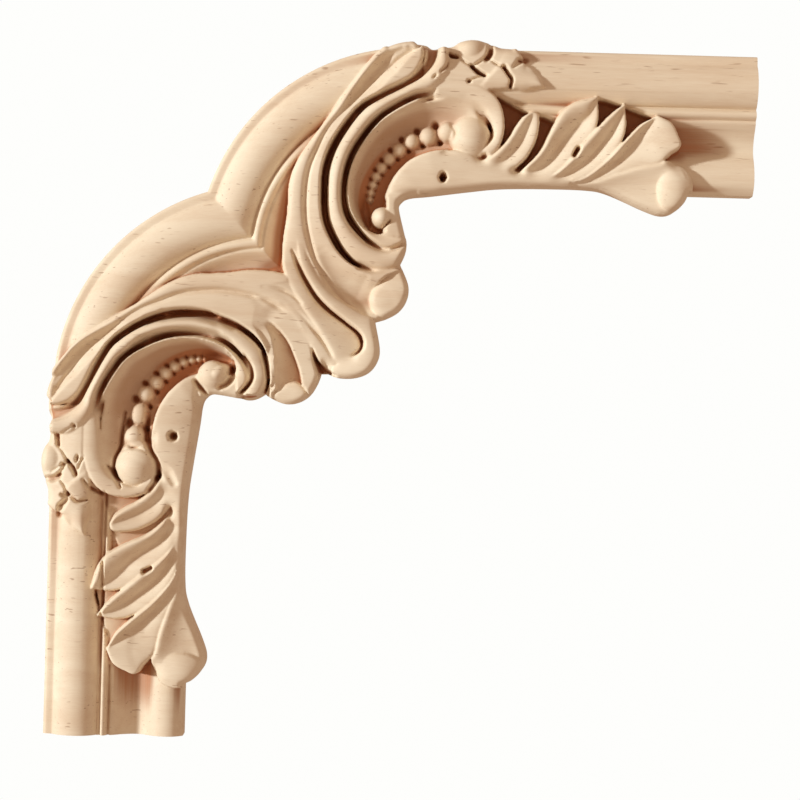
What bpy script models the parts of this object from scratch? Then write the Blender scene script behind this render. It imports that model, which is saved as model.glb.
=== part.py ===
# A carved wooden corner onlay: a length of moulding that turns a corner in two round lobes, with leaf work
# and a beaded scroll on each arm, cut from one board. It lies upright against a wall, its face to the front.
import bpy
import numpy as np

# all lengths of the drawing are in millimetres: u runs right along the upper arm, v down the side arm
legLength = 280.0
armWidth = 56.0
lobeCentre = (142.0, 85.5)
lobeRadius = 85.5
tipEnd = 131.5          # the leaf tip ends here, and the lobe's round edge begins
rimTurn = 2.4           # width over which the carving's outer rim turns down
rimFall = 3.6
sideGround = 13.2       # height of the ground between the side arm's leaves
markReach = 5.0         # how far round it each mark on the lower half counts
firstBead = 4.2         # radius of the largest bead
beadShrink = 0.88
beadSeat = (12.2, 10, 8, 7, 6.4)    # height of the beads' middles over the back, first to last

# the moulding's section: (distance in from the outer edge, height over the back)
mouldingProfile = ((0, 11.2), (0.8, 12.4), (3.4, 12.8), (3.9, 12.9), (6, 15), (9, 16.5), (12.5, 17.2),
                   (16, 16.8), (19, 15.3), (20.8, 13.6), (21.5, 12.2), (22.3, 13.6), (23.2, 14.3),
                   (24.2, 14.3), (25.2, 13.6), (25.9, 12.2), (26.8, 12.6), (28.5, 11.6), (31, 9.6),
                   (34, 7.9), (37, 7.2), (39.5, 7.9), (42.5, 10.3), (46, 12.3), (49.5, 12.9), (52.5, 12.2),
                   (54.8, 10.4), (56, 8.8))

mm = 0.001
mountAt = (95.0, 95.0)      # the back's fixing point, which is the origin
leastThickness = 4.0
gridLow, gridHigh = -6.0, 286.0
gridStep = 0.5
cellSize = 1.0
facesWanted = 9600
woodColour = (0.74, 0.56, 0.38, 1.0)

# the drawing's main lines, run as smooth curves through these points
leafLine = ((141, -3), (133, -1.4), (125.5, 4.2), (117.5, 15.5), (109, 28), (101, 39.5), (95.8, 48),
            (93.2, 56.5), (92.6, 68), (91.2, 82), (93, 95.5), (106, 108))
creaseLine = ((143.5, 1), (136, 6), (126, 15), (109.5, 32.5), (103.6, 44), (100.9, 51.5), (99.9, 61),
              (100.6, 72.5), (103.8, 84.5), (108, 92.5), (113, 99.5), (120, 106), (130, 111.5))
firstGrooveLine = ((150, 0), (148.6, 6), (144.4, 11.6), (138, 15.8), (130, 19.9), (121, 25.8), (112.6, 37.5),
                   (108.4, 47.5), (107.3, 57), (108.2, 70), (112.8, 80), (118.5, 86.6), (125, 89.6),
                   (131.5, 90.6), (140, 88))
secondGrooveLine = ((150, 18.4), (142, 20.8), (130, 28), (122.2, 37), (117.2, 46.5), (115.2, 57),
                    (116.2, 66.5), (120.4, 73.6), (126.5, 79.4), (133.5, 82), (142, 78.6))
scrollRimLine = ((164, 19.8), (155, 20.6), (148.9, 21.8), (141.1, 24.4), (129.6, 32), (121.4, 42.4),
                 (118, 53), (118, 62), (120.4, 69.6), (125, 74), (131, 75.4))
hollowFootLine = ((170, 29.6), (158, 29.4), (149, 30.6), (141, 33), (134.5, 37), (129, 42.4), (124.6, 49.5),
                  (121.8, 57), (121.6, 65), (125.6, 72.6))
beadLine = ((156.2, 33.9), (148.4, 35.6), (141.8, 37.4), (136.8, 41.2), (132.7, 45), (128.9, 50),
            (126.4, 56), (125.4, 62))
stemLine = ((134.2, 63), (131.6, 61), (132.4, 57.5), (135, 52.1), (140, 46.4), (146.7, 42.8), (154.5, 41.2),
            (163, 42.5), (176, 47.5), (190, 51), (206, 52.5))
middleGrooveLine = ((95.4, 83.5), (98.2, 90), (101.2, 95.6), (105.4, 101.8), (110.4, 106.8), (117, 111.4),
                    (122.6, 115.8), (124.4, 120), (123.2, 123), (120.2, 125))
groundTop = ((172, 18), (180, 21.5), (189, 26), (195, 27), (200, 29), (207, 24), (216, 19.6), (226, 21.8),
             (238, 26))
groundFoot = ((174, 46.6), (190, 50), (206, 50), (222, 48), (238, 40))
# marks on the lower half: (u, v, how far across and along they lie off the mirror image)
lowerMarks = ((9, 147, -0.2, 2), (14, 141, 0, 0.4), (20, 129, 0, -1), (28, 119, 0, 0.2),
              (37.5, 113.3, 0, 0.7), (47.5, 110.6, 0, 2.2), (57, 110, 0, 2.7), (70, 114, 0, 5.8),
              (79, 118.6, -1, 5.8), (83.4, 123.4, -3.2, 5), (85.4, 128.4, -4.2, 3.4), (86.6, 135, -4, 3.5),
              (19.8, 141, -1, -1), (27.4, 128.8, -0.6, -1.2), (36.5, 121.2, -0.5, -1),
              (46.5, 117.6, 0, 0.4), (57, 116.7, 0, 1.5), (66, 118.3, -0.5, 2), (73, 122, -0.6, 1.6),
              (77.6, 127, -1.8, 0.5), (80.2, 134, -1.8, 0.5), (76, 142, -2.6, 0), (24, 140, -0.4, -1),
              (42.4, 122.8, 0, 1.4), (53, 120.8, 0, 2.8), (62, 121.6, 0, 3.6), (69, 124, -0.6, 3.6),
              (72, 128, -2, 3), (37.5, 142, 0, 0.2), (45, 133.3, 0, 0.6), (50, 129.8, 0, 0.9),
              (56, 127.7, 0, 1.3), (48, 141.5, 1, 1.5), (53, 136, 1, 1), (64, 134, -4, 3),
              (36.2, 148, 0, 1.4), (35.4, 155, -0.3, 3), (34.6, 162, -0.3, 5),
              (45, 103.4, 0, 0.6), (57, 100, 0, 0.4), (68, 99.6, 0, 0), (78, 100.4, 0, -0.4),
              (88, 103.8, 0, -0.6))


def smooth(x, low, high):
    t = np.clip((x - low) / (high - low), 0, 1)
    return t * t * (3 - 2 * t)


def curve(points, steps=8):
    # a smooth line through the points; their further columns are carried along it
    p = np.array(points, float)
    ends = np.vstack([2 * p[0] - p[1], p, 2 * p[-1] - p[-2]])
    t = np.linspace(0, 1, steps, endpoint=False)[:, None]
    runs = []
    for a, b, c, d in zip(ends, ends[1:], ends[2:], ends[3:]):
        cubic = (3 * b - a - 3 * c + d) * t ** 3
        runs.append(0.5 * (2 * b + (c - a) * t + (2 * a - 5 * b + 4 * c - d) * t ** 2 + cubic))
    return np.vstack(runs + [p[-1:]])


def spread(values, share):
    # one value, or a few that are spread evenly along something, read at a share of its length
    values = np.atleast_1d(values)
    return np.interp(share, np.linspace(0, 1, len(values)), values)


def measured(path):
    # a path, and how far along it each of its points lies
    return path, np.concatenate([[0], np.cumsum(np.hypot(*np.diff(path[:, :2], axis=0).T))])


def edge(points, heights, aside=0.0):
    # a band's edge: a curve through the points, moved aside, with heights spread evenly along its length
    path, run = measured(curve(points))
    share = run / run[-1]
    du, dv = np.gradient(path[:, 0]), np.gradient(path[:, 1])
    away = np.stack([-dv, du], axis=1) / np.maximum(np.hypot(du, dv), 1e-9)[:, None]
    return np.column_stack([path + away * spread(aside, share)[:, None], spread(heights, share)])


def nearest(path, u, v):
    # distance to the path, share of its length at the nearest point, and the path's further columns there
    _, run = measured(path)
    best = np.full(u.shape, 1e12)
    share = np.zeros(u.shape)
    columns = [np.zeros(u.shape) for _ in range(path.shape[1] - 2)]
    for k, (a, b) in enumerate(zip(path, path[1:])):
        along = b[:2] - a[:2]
        t = np.clip(((u - a[0]) * along[0] + (v - a[1]) * along[1]) / max(along @ along, 1e-9), 0, 1)
        apart = (u - a[0] - t * along[0]) ** 2 + (v - a[1] - t * along[1]) ** 2
        closer = apart < best
        best = np.where(closer, apart, best)
        share = np.where(closer, (run[k] + t * (run[k + 1] - run[k])) / run[-1], share)
        for n, column in enumerate(columns):
            columns[n] = np.where(closer, a[2 + n] + t * (b[2 + n] - a[2 + n]), column)
    return np.sqrt(best), share, columns


def inside(outline, u, v):
    # even and odd crossings of a closed outline
    within = np.zeros(u.shape, bool)
    for (u0, v0), (u1, v1) in zip(outline, np.roll(outline, -1, axis=0)):
        if v0 != v1:
            within ^= ((v0 > v) != (v1 > v)) & (u < (u1 - u0) * (v - v0) / (v1 - v0) + u0)
    return within


def blur(z, cells):
    reach = int(np.ceil(2.5 * cells))
    weights = np.exp(-0.5 * (np.arange(-reach, reach + 1) / cells) ** 2)
    weights /= weights.sum()
    for axis in (0, 1):
        padded = np.pad(z, [(reach, reach) if n == axis else (0, 0) for n in (0, 1)], mode="edge")
        size = z.shape[axis]
        z = sum(w * np.take(padded, range(k, k + size), axis=axis) for k, w in enumerate(weights))
    return z


class Relief:
    # heights over a square grid, with a mark wherever they have been carved
    def __init__(self, low, high, step):
        self.step = step
        self.line = np.arange(low, high + step / 2, step)
        self.u, self.v = np.meshgrid(self.line, self.line)
        self.z = mouldingHeight(self.u, self.v)
        self.carved = np.zeros(self.u.shape)

    def window(self, path, margin):
        low = np.floor((path[:, :2].min(axis=0) - margin - self.line[0]) / self.step).astype(int)
        high = np.ceil((path[:, :2].max(axis=0) + margin - self.line[0]) / self.step).astype(int) + 1
        low, high = np.clip(low, 0, len(self.line)), np.clip(high, 0, len(self.line))
        return slice(low[1], high[1]), slice(low[0], high[0])

    def read(self, layer, u, v):
        # a layer's value between the grid's points
        i = np.clip((u - self.line[0]) / self.step, 0, len(self.line) - 1.001)
        j = np.clip((v - self.line[0]) / self.step, 0, len(self.line) - 1.001)
        i0, j0 = i.astype(int), j.astype(int)
        a, b = i - i0, j - j0
        top = layer[j0, i0] * (1 - a) + layer[j0, i0 + 1] * a
        return top * (1 - b) + (layer[j0 + 1, i0] * (1 - a) + layer[j0 + 1, i0 + 1] * a) * b

    def band(self, left, right, bow=0.0, turn=1.0, drop=1.5, crest=0.5, soften=0.4, fade=(0.0, 0.0)):
        # a band between two edges, laid over what is there; bow lifts or hollows its middle, which lies at
        # crest, its two rims turn down by drop over the width turn, and it fades in and out at its ends
        outline = np.vstack([left[:, :2], right[::-1, :2]])
        w = self.window(outline, 3 * soften + 1)
        u, v = self.u[w], self.v[w]
        toLeft, share, (highLeft,) = nearest(left, u, v)
        toRight, _, (highRight,) = nearest(right, u, v)
        s = toLeft / np.maximum(toLeft + toRight, 1e-6)
        arch = np.where(s < crest, s / crest, (1 - s) / (1 - crest))
        z = highLeft * (1 - s) + highRight * s + spread(bow, share) * arch * (2 - arch)
        z = blur(z, soften / self.step)
        falls = []
        for apart, fall in zip((toLeft, toRight), drop if isinstance(drop, tuple) else (drop, drop)):
            rim = np.clip(apart / turn, 0, 1)
            falls.append(spread(fall, share) * (1 - np.sqrt(1 - (1 - rim) ** 2)))
        z -= np.maximum(*falls)
        cover = inside(outline, u, v) * 1.0
        for length, along in zip(fade, (share, 1 - share)):
            if length:
                cover *= smooth(along, 0, length)
        self.z[w] += (z - self.z[w]) * cover
        self.carved[w] = np.maximum(self.carved[w], cover)

    def groove(self, points, halfWidths, depths, power=2.0):
        # a cut whose half widths and depths are spread along it; power 1 is a V, 2 is round, more is square
        path = edge(points, (0,))
        w = self.window(path, max(halfWidths))
        apart, share, _ = nearest(path, self.u[w], self.v[w])
        x = np.clip(apart / spread(halfWidths, share), 0, 1)
        self.z[w] -= spread(depths, share) * (1 - x ** power) ** (1.5 if power > 1 else 1)
        self.carved[w] = np.maximum(self.carved[w], x < 1)

    def ball(self, u0, v0, radius, top, foot, stretch=1.0, power=0.5):
        # a dome, longer along v by stretch; power 0.5 is a ball, more runs out softer at its foot
        centre = np.array([[u0, v0]])
        w = self.window(centre, radius * stretch)
        x = np.hypot(self.u[w] - u0, (self.v[w] - v0) / stretch) / radius
        dome = foot + (top - foot) * np.clip(1 - x ** 2, 0, 1) ** power
        self.z[w] = np.where(x < 1, np.maximum(self.z[w], dome), self.z[w])
        self.carved[w] = np.maximum(self.carved[w], x < 1)

    def sand(self, points, width, softness):
        # rubs the relief smooth along a line
        path = curve(points)
        w = self.window(path, width + 3 * softness)
        apart, _, _ = nearest(path, self.u[w], self.v[w])
        self.z[w] += (blur(self.z[w], softness / self.step) - self.z[w]) * smooth(width - apart, 0, width)


def fromOuterEdge(u, v):
    # distance in from the moulding's outer edge: straight along each arm, round on the two lobes
    long, short = np.maximum(u, v), np.minimum(u, v)
    onLobe = lobeRadius - np.hypot(long - lobeCentre[0], short - lobeCentre[1])
    return np.where(long >= lobeCentre[0], short, onLobe)


def mouldingHeight(u, v):
    section = curve(mouldingProfile)
    return np.interp(fromOuterEdge(u, v), np.maximum.accumulate(section[:, 0]), section[:, 1])


def scaleLeaves(r):
    # the scales stand a little over the moulding along its outer edge, as one raised field
    r.band(edge(((146, 1), (157, -2.6), (165, -5.2), (172, -4), (180, -2), (184.8, 2.4), (187.4, 8),
                 (192, 10.8), (194.4, 15.4)), (14.6, 14.2, 14.4, 15.4, 18.2, 18.4)),
           edge(((146, 17), (158, 17.6), (168, 17.6), (176, 16.8), (185, 16.6), (194.4, 15.4)),
                (19.4, 19.2, 18.8, 18.4)), bow=2.0, turn=1.0, drop=(1.7, 0.5), crest=0.6)
    r.ball(164.6, 1.0, 7.0, 18.6, 14.4, power=1.0)
    r.ball(178.6, 3.2, 5.6, 17.4, 14.6, power=1.0)
    r.ball(186, 12, 5.2, 19.6, 18, power=1.0)
    # cuts between them: (line, half widths, depths)
    cuts = ((((155.4, 3.2), (159, 4)), (1.4, 0.9), (3.6, 2.4)),
            (((158.6, 3), (161, 5.4), (165.2, 8)), (0.6, 0.7), (1.0, 1.8)),
            (((172.4, -1), (172.2, 2.4), (170.8, 4.8)), (1.4, 1.8, 1.5), (3, 3.6, 3.2)),
            (((171, 3.6), (168.6, 5.6), (165.2, 8)), (0.8, 0.7), (1.6, 2.2)),
            (((164.8, 7.6), (167.8, 10.2), (170.6, 11.4)), (0.9, 1.2, 0.8), (4, 4.6, 4)),
            (((170, 11.8), (166.6, 12.7), (163.8, 14)), (0.5, 0.6), (1.2, 1.6)),
            (((172, 4.6), (175, 6.8), (178.4, 8.4)), (0.6, 0.7), (1.2, 2)),
            (((178, 8), (179.6, 10.6), (181, 12.6), (180.6, 15.8)), (1.3, 0.9, 0.8, 0.9), (4, 3.4, 3, 3.6)),
            (((187, 4.6), (184.6, 5), (181.6, 7.8)), (1.3, 1.6, 0.7), (1.6, 3, 1.4)))
    for line, halfWidths, depths in cuts:
        r.groove(line, halfWidths, depths, power=2.5)


def leaf(r, left, valley, right, ridgeHeights, valleyHeights, bodyHeights):
    # a thick ridge on the left that falls into a sharp valley, then a body that rises to the right
    low = edge(valley, valleyHeights)
    r.band(low, edge(right, bodyHeights), bow=0.9, turn=1.4, drop=(0.0, 1.6), crest=0.6, soften=1.0)
    r.band(edge(left, ridgeHeights), low, bow=1.7, turn=1.5, drop=(2.0, 0.0), crest=0.36, soften=0.5)


def leafSpray(r):
    # sunk ground behind the leaves, seen in the gaps between their tips
    r.band(edge(groundTop, (6.4, 5.8, 6.4)), edge(groundFoot, (6.5, 6, 6)), bow=-0.6, turn=0.5, drop=0)
    # four fluted leaves that rise out of the stem: left edge, valley, right edge and their heights
    leaf(r, ((162, 47), (169, 45.6), (174.4, 42.4), (178, 38.6), (180.6, 35.2), (182.8, 31.2), (186, 27),
             (190, 25)),
         ((166, 50.6), (174, 48), (180.4, 43.8), (184.8, 38.2), (187.6, 32), (190, 25)),
         ((168, 54.5), (178, 52), (186.4, 45.6), (189.8, 41), (192, 36), (193, 30), (192.4, 26), (190, 25)),
         (16.6, 17.6, 18, 18.4), (15.8, 15.6, 15.6, 18), (15, 17, 17.4, 18))
    leaf(r, ((174, 52), (183, 50.4), (189, 45.4), (193.5, 40), (196.3, 34), (199, 28.6), (202.4, 23.6),
             (207.6, 20.4), (215.9, 18.4)),
         ((174, 54), (184, 52.2), (190, 49.5), (195.5, 46), (199, 41.6), (204, 35), (210, 29), (213.6, 25),
          (215.9, 18.4)),
         ((174, 57), (190, 54.5), (202, 48.6), (209, 41), (214.4, 34), (216.6, 27), (215.9, 18.4)),
         (15.4, 17.6, 18.8, 19, 19), (14.4, 13.8, 14.2, 15, 18.4), (14, 15.6, 16.8, 17.6, 18.4))
    leaf(r, ((190, 53), (199, 49.6), (205.4, 43.4), (210, 37.4), (215.7, 30.8), (219, 27), (223, 23.3),
             (226.8, 20.8)),
         ((190, 55), (200, 51.6), (206, 48.5), (211, 45.5), (215, 41.5), (218, 37.5), (221.6, 32.5),
          (224.6, 27), (226.8, 20.8)),
         ((190, 57), (205, 54), (215, 49), (222, 42.6), (226.4, 35.6), (227.8, 29), (226.8, 20.8)),
         (15.4, 17.6, 18.8, 19, 19), (14.2, 13.8, 14.2, 15, 18.4), (14, 15.6, 16.8, 17.6, 18.4))
    leaf(r, ((203, 53.6), (212, 50), (219.5, 43.8), (225.5, 37), (229.4, 32.6), (233.4, 28.6), (240, 25.2)),
         ((203, 55.4), (213, 51.6), (220, 47.2), (225.4, 42.6), (229.6, 37.6), (234, 32), (240, 25.2)),
         ((203, 57), (215, 54), (224, 50), (232, 47), (241, 44.6), (246, 40.6), (249.8, 37.4), (248.6, 33),
          (245.6, 28), (240, 25.2)),
         (15.4, 17.8, 19.2, 19.6), (14.2, 14, 14.8, 19), (14, 14.8, 16.6, 19.4, 19.4))
    # fifth leaf, the end lobe that hangs past the inner edge: a hollow and a raised pad at its end
    r.band(edge(((200, 53.5), (214, 52), (224, 48.8), (233, 46), (241, 44.4), (244, 43), (249, 45.2),
                 (252.6, 51), (252.6, 59), (250, 65)), (15, 17, 18.6, 19.8, 17.6)),
           edge(((200, 58), (214, 59), (229, 63), (237, 66.5), (250, 67)), (12.5, 14, 16.4)),
           bow=-2.0, turn=1.9, drop=(1.5, 0.6), soften=1.6)
    r.ball(248, 54.4, 7.2, 19.4, 16.2, stretch=1.35, power=0.8)


def scroll(r):
    # hollow of the C-scroll: its wall falls from the rim to the beads, its floor runs under them
    foot = edge(hollowFootLine, (17.4, 14.2, 11.6, 9.8, 8.8, 8, 7.6, 7.4, 7, 7.4))
    r.band(edge(scrollRimLine[:10], (18.2, 18.6, 18.4, 18, 17.6, 17)), foot,
           bow=(-0.2, -0.9, -1.6, -2.2, -2.2), drop=0, crest=0.5, soften=0.5)
    r.band(foot, edge(((170, 44), (160, 43), (150, 43), (141, 47), (135, 54), (132, 61), (129, 69)),
                      (17, 14, 10.4, 7.4, 5.6, 5.2, 5.2)), bow=(0, -0.4, -0.8, -0.8), drop=0, soften=0.8)
    # stem under the beads, running on behind the leaves
    r.band(edge(stemLine, (13, 17.8, 19.2, 18.4, 16.8, 15.6, 14.6)),
           edge(((139, 66), (143, 64.4), (151, 63), (171, 60), (190, 59), (206, 58.8)), (14.4, 15, 14)),
           bow=1.6, turn=2.0, drop=([1.8, 1.8, 1.8, 1.6, 1.0, 0, 0, 0, 0, 0, 0], 0.0), soften=0.8)
    # the beads shrink as they run down into the hollow
    path, run = measured(curve(beadLine, 40))
    at, radius = 0.0, firstBead
    while at < run[-1]:
        place = [np.interp(at, run, path[:, n]) for n in (0, 1)]
        seat = spread(beadSeat, at / run[-1])
        r.ball(*place, radius, seat + radius, seat)
        at += radius * (1 + beadShrink)
        radius *= beadShrink
    # the bulb, and the band that curls over the hollow's end and holds it
    r.ball(165.5, 36, 8.6, 20.6, 15.4, power=0.9)
    r.band(edge(((146, 14.6), (160, 13.8), (170, 16.2), (176.6, 21.4), (179, 30), (177.6, 38.6),
                 (172, 45.5)), (19.4, 19.4, 19.8, 19.4, 17.2)),
           edge(((146, 21), (156, 20.8), (165, 22.6), (171.6, 27.4), (174, 33.6), (171.8, 39.4),
                 (164, 46.5)), (18.4, 18.2, 18, 17.8, 17)), bow=0.9, turn=1.5,
           drop=([0.1, 0.1, 0.8, 1.6, 1.6, 1.6, 0.6], [0.6, 0.6, 0.9, 1.4, 1.0, 0]), soften=1.0,
           fade=(0.1, 0.05))
    r.sand(((156, 43.6), (162, 44.6), (168, 45.6), (174, 46.6), (184, 49.6), (204, 53)), 3.6, 1.5)
    r.sand(((150, 20.6), (158, 20.6), (165, 22.4), (170, 26)), 2.4, 0.9)


def closing(apart):
    # keeps apart along a groove, and closes it at the groove's far end
    return [apart] * 9 + [apart * 0.6, 0, 0]


def ribbons(r):
    # rim of the C-scroll, curling round its eye
    r.band(edge(secondGrooveLine, (19, 18.6, 18.2, 18, 18), closing(-1.0)),
           edge(scrollRimLine[2:] + ((138, 70), (143, 68)), (18.4, 17.8, 17.2, 17, 16)),
           bow=1.2, turn=1.1, drop=(0.9, [0.7, 0.9, 0.9, 0.9, 0.4, 0, 0]), crest=0.55, fade=(0.08, 0.0))
    # neck beside the eye, then the eye itself
    r.band(edge(((132, 58), (132.4, 63), (132.4, 67), (132.2, 72), (129.6, 76)), (17, 17.4, 17.6, 17.8)),
           edge(((145, 57), (144, 66), (146, 78)), (14.6, 15, 16)), bow=0.6, turn=1.4,
           drop=([0.2, 1.0, 1.2, 1.0, 0.1], 0.0), fade=(0.2, 0.2))
    r.ball(130.7, 69.1, 4.5, 20.2, 12)
    # second ribbon, from its hook at the outer edge round the scroll
    r.band(edge(firstGrooveLine, (19.4, 19.2, 18.6, 18.4, 17.8), closing(-1.2)),
           edge(((155, 0), (156.2, 6), (154.8, 12.5)) + secondGrooveLine, (19.6, 20, 19.6, 19, 17.4),
                [0, 0] + closing(1.1)), bow=1.9, turn=1.4,
           drop=(closing(1.0), [1.2, 0.4, 0.3, 1.6, 1.9, 1.9, 1.9, 1.9, 1.4, 0.4, 0]), crest=0.58)
    # outer ribbon, its inner band, which ends in the lobe
    lobeEnd = ((140.6, 89.4), (144.8, 96), (143.8, 104.6), (139, 110.6), (130, 113))
    r.band(edge(creaseLine, (19.4, 20, 20.4, 20.4, 20.2, 18.6)),
           edge(firstGrooveLine[:-1] + lobeEnd, (19.4, 21.4, 21.6, 20.6, 18.6),
                [4.6, 1.4, 1.2, 1.2, 1.2, 1.2, 1.2, 0.6, 0, 0, 0]), bow=0.2, turn=1.4,
           drop=(0.9, [1.3, 1.3, 1.3, 1.3, 1.3, 1.3, 1.1, 0.4, 0, 0, 0]), soften=0.7)
    # outer ribbon, its outer band, from the leaf tip down to the middle leaf
    r.band(edge(leafLine, (18.2, 19.4, 20, 20, 20, 20)),
           edge(((141, -3),) + creaseLine[:-1], (18.2, 19.8, 20.6, 20.6, 19.4)),
           bow=1.0, turn=2.2, drop=(1.9, 1.2), soften=0.7)


def deepCuts(r):
    # folded hollow of the leaf tip, its left wall the steeper one
    r.groove(((140, 2), (135.4, 5.4), (129.4, 10.8), (122.6, 18.4), (115, 28), (107, 38.5)),
             (2.4, 4.6, 4.8, 4.2, 2.6, 1.4), (1.2, 3.0, 2.8, 1.8, 0.6, 0.1))
    r.groove(((137, 1.4), (132, 4.2), (126.6, 10), (120.6, 18), (114, 27)), (1.6, 3, 3, 2.6, 1.2),
             (0.8, 2.8, 2.8, 2, 0.2), power=1.5)
    # crease between the two bands
    r.groove(creaseLine[3:-1], (0.8, 1.3, 1.5, 1.5, 1.6, 1.6, 1.2), (0.1, 0.7, 0.9, 0.8, 0.8, 0.8, 0.3))
    # grooves between the first and second ribbon and between that and the rim
    r.groove(firstGrooveLine[:-1], (3.2, 1.9, 0.9, 1.1, 1.6, 1.6, 1.6, 1.5, 1.4, 1.4, 1.5, 1.2, 0.7),
             (5, 5, 3.4, 3.4, 5, 5.6, 5.6, 5.6, 5.6, 5.4, 4.6, 2, 0.5), power=3)
    r.groove(secondGrooveLine, (0.7, 0.9, 1.1, 1.2, 1.2, 1.1, 1.2, 1.8, 1.9, 1.2, 1.4),
             (0.3, 1.6, 3.8, 5, 5.2, 5.2, 5, 4, 2, 1.4, 3), power=3)
    r.sand(((123, 89.2), (129, 90.6), (135, 90.2), (141, 87.6)), 2.6, 1.1)
    r.sand(((125, 79), (130, 81.4), (134, 82)), 2.2, 0.9)
    # pocket at the scroll's lower end, left of the eye
    r.groove(((123.4, 60), (123.8, 67), (125, 71.6)), (1.4, 2.2, 1.9), (0.5, 2.6, 3))
    # hollow of the lobe and the pad at its right, which rises steeply from its deepest place
    r.groove(((107.6, 84), (112.6, 92), (118.4, 98), (124, 101), (129, 101.6)),
             (3, 6, 8, 9, 8), (0.4, 2.2, 3.8, 5, 4.6))
    r.band(edge(((140, 89.4), (134, 92.2), (130, 95.8), (127.4, 99.4), (126.8, 103.4), (129, 107.6),
                 (134, 112)), (17.4, 18.2, 18.6, 18.4, 17.6)),
           edge(((148, 90), (149, 98), (146, 107), (140, 113), (134, 112)), (17.6, 17.8, 17.6)), bow=1.5,
           turn=2.4, drop=([0, 1.2, 1.9, 1.9, 1.0, 0.2], 0.0), soften=0.8)
    # crescent beside the bulb, and the gap between it and the first bead
    r.groove(((169, 29.2), (172.6, 31.4), (173.9, 34.8), (172.4, 38), (170.6, 39.6)), (0.4, 1.2, 1.1, 0.4),
             (0.4, 3.6, 3.2, 0.4))
    r.groove(((157.2, 30.6), (159.4, 34), (158.6, 38)), (0.5, 0.8, 0.5), (0.6, 2.6, 1.0))


def lowerLobe(r):
    # along the top of the lobe both grooves run out shallow
    r.sand(((45, 111), (52, 110.2), (58, 110.2), (66, 112.4)), 3.4, 1.6)
    r.sand(((36, 121.4), (46, 117.6), (56, 116.8), (66, 118.2)), 3.2, 1.3)
    # the lower lobe's plain end, its deep flute with a steep right wall, and the small pad under that
    r.band(edge(((80, 113), (84.4, 118.6), (86.8, 124), (88.2, 130), (89, 136), (88.6, 141), (92, 147)),
                (19.8, 19.4, 19, 18.4, 18)),
           edge(((92, 104), (98, 111), (101.6, 117), (104, 123), (106.6, 130), (108.4, 137), (105, 144),
                 (98, 148)), (19.8, 19.6, 19.4, 18.8, 18)),
           bow=0.4, turn=1.4, drop=([0, 0.6, 1.2, 1.2, 1.2, 0.6], 0.0), soften=1.2, fade=(0.16, 0.0))
    r.band(edge(((84, 112.4), (87.6, 117), (89.2, 123), (89.8, 130), (90.4, 139)), (19.2, 18.6, 18, 17.4)),
           edge(((86, 111), (90.6, 115), (94.6, 120), (97.4, 126), (99.6, 132), (101, 139)),
                (19.2, 16, 13.8, 13, 13)), bow=-0.8, drop=0, soften=0.6, fade=(0.16, 0.0))
    r.band(edge(((89, 140.6), (91.6, 138.4), (95, 136.4), (98.6, 136), (101.6, 138), (104, 142)),
                (16.6, 17, 17.2, 17)),
           edge(((89, 143), (93, 146), (98, 147), (103, 146)), (16.4, 16.6)),
           bow=0.8, turn=1.6, drop=(1.6, 0.0), soften=0.6)


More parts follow.
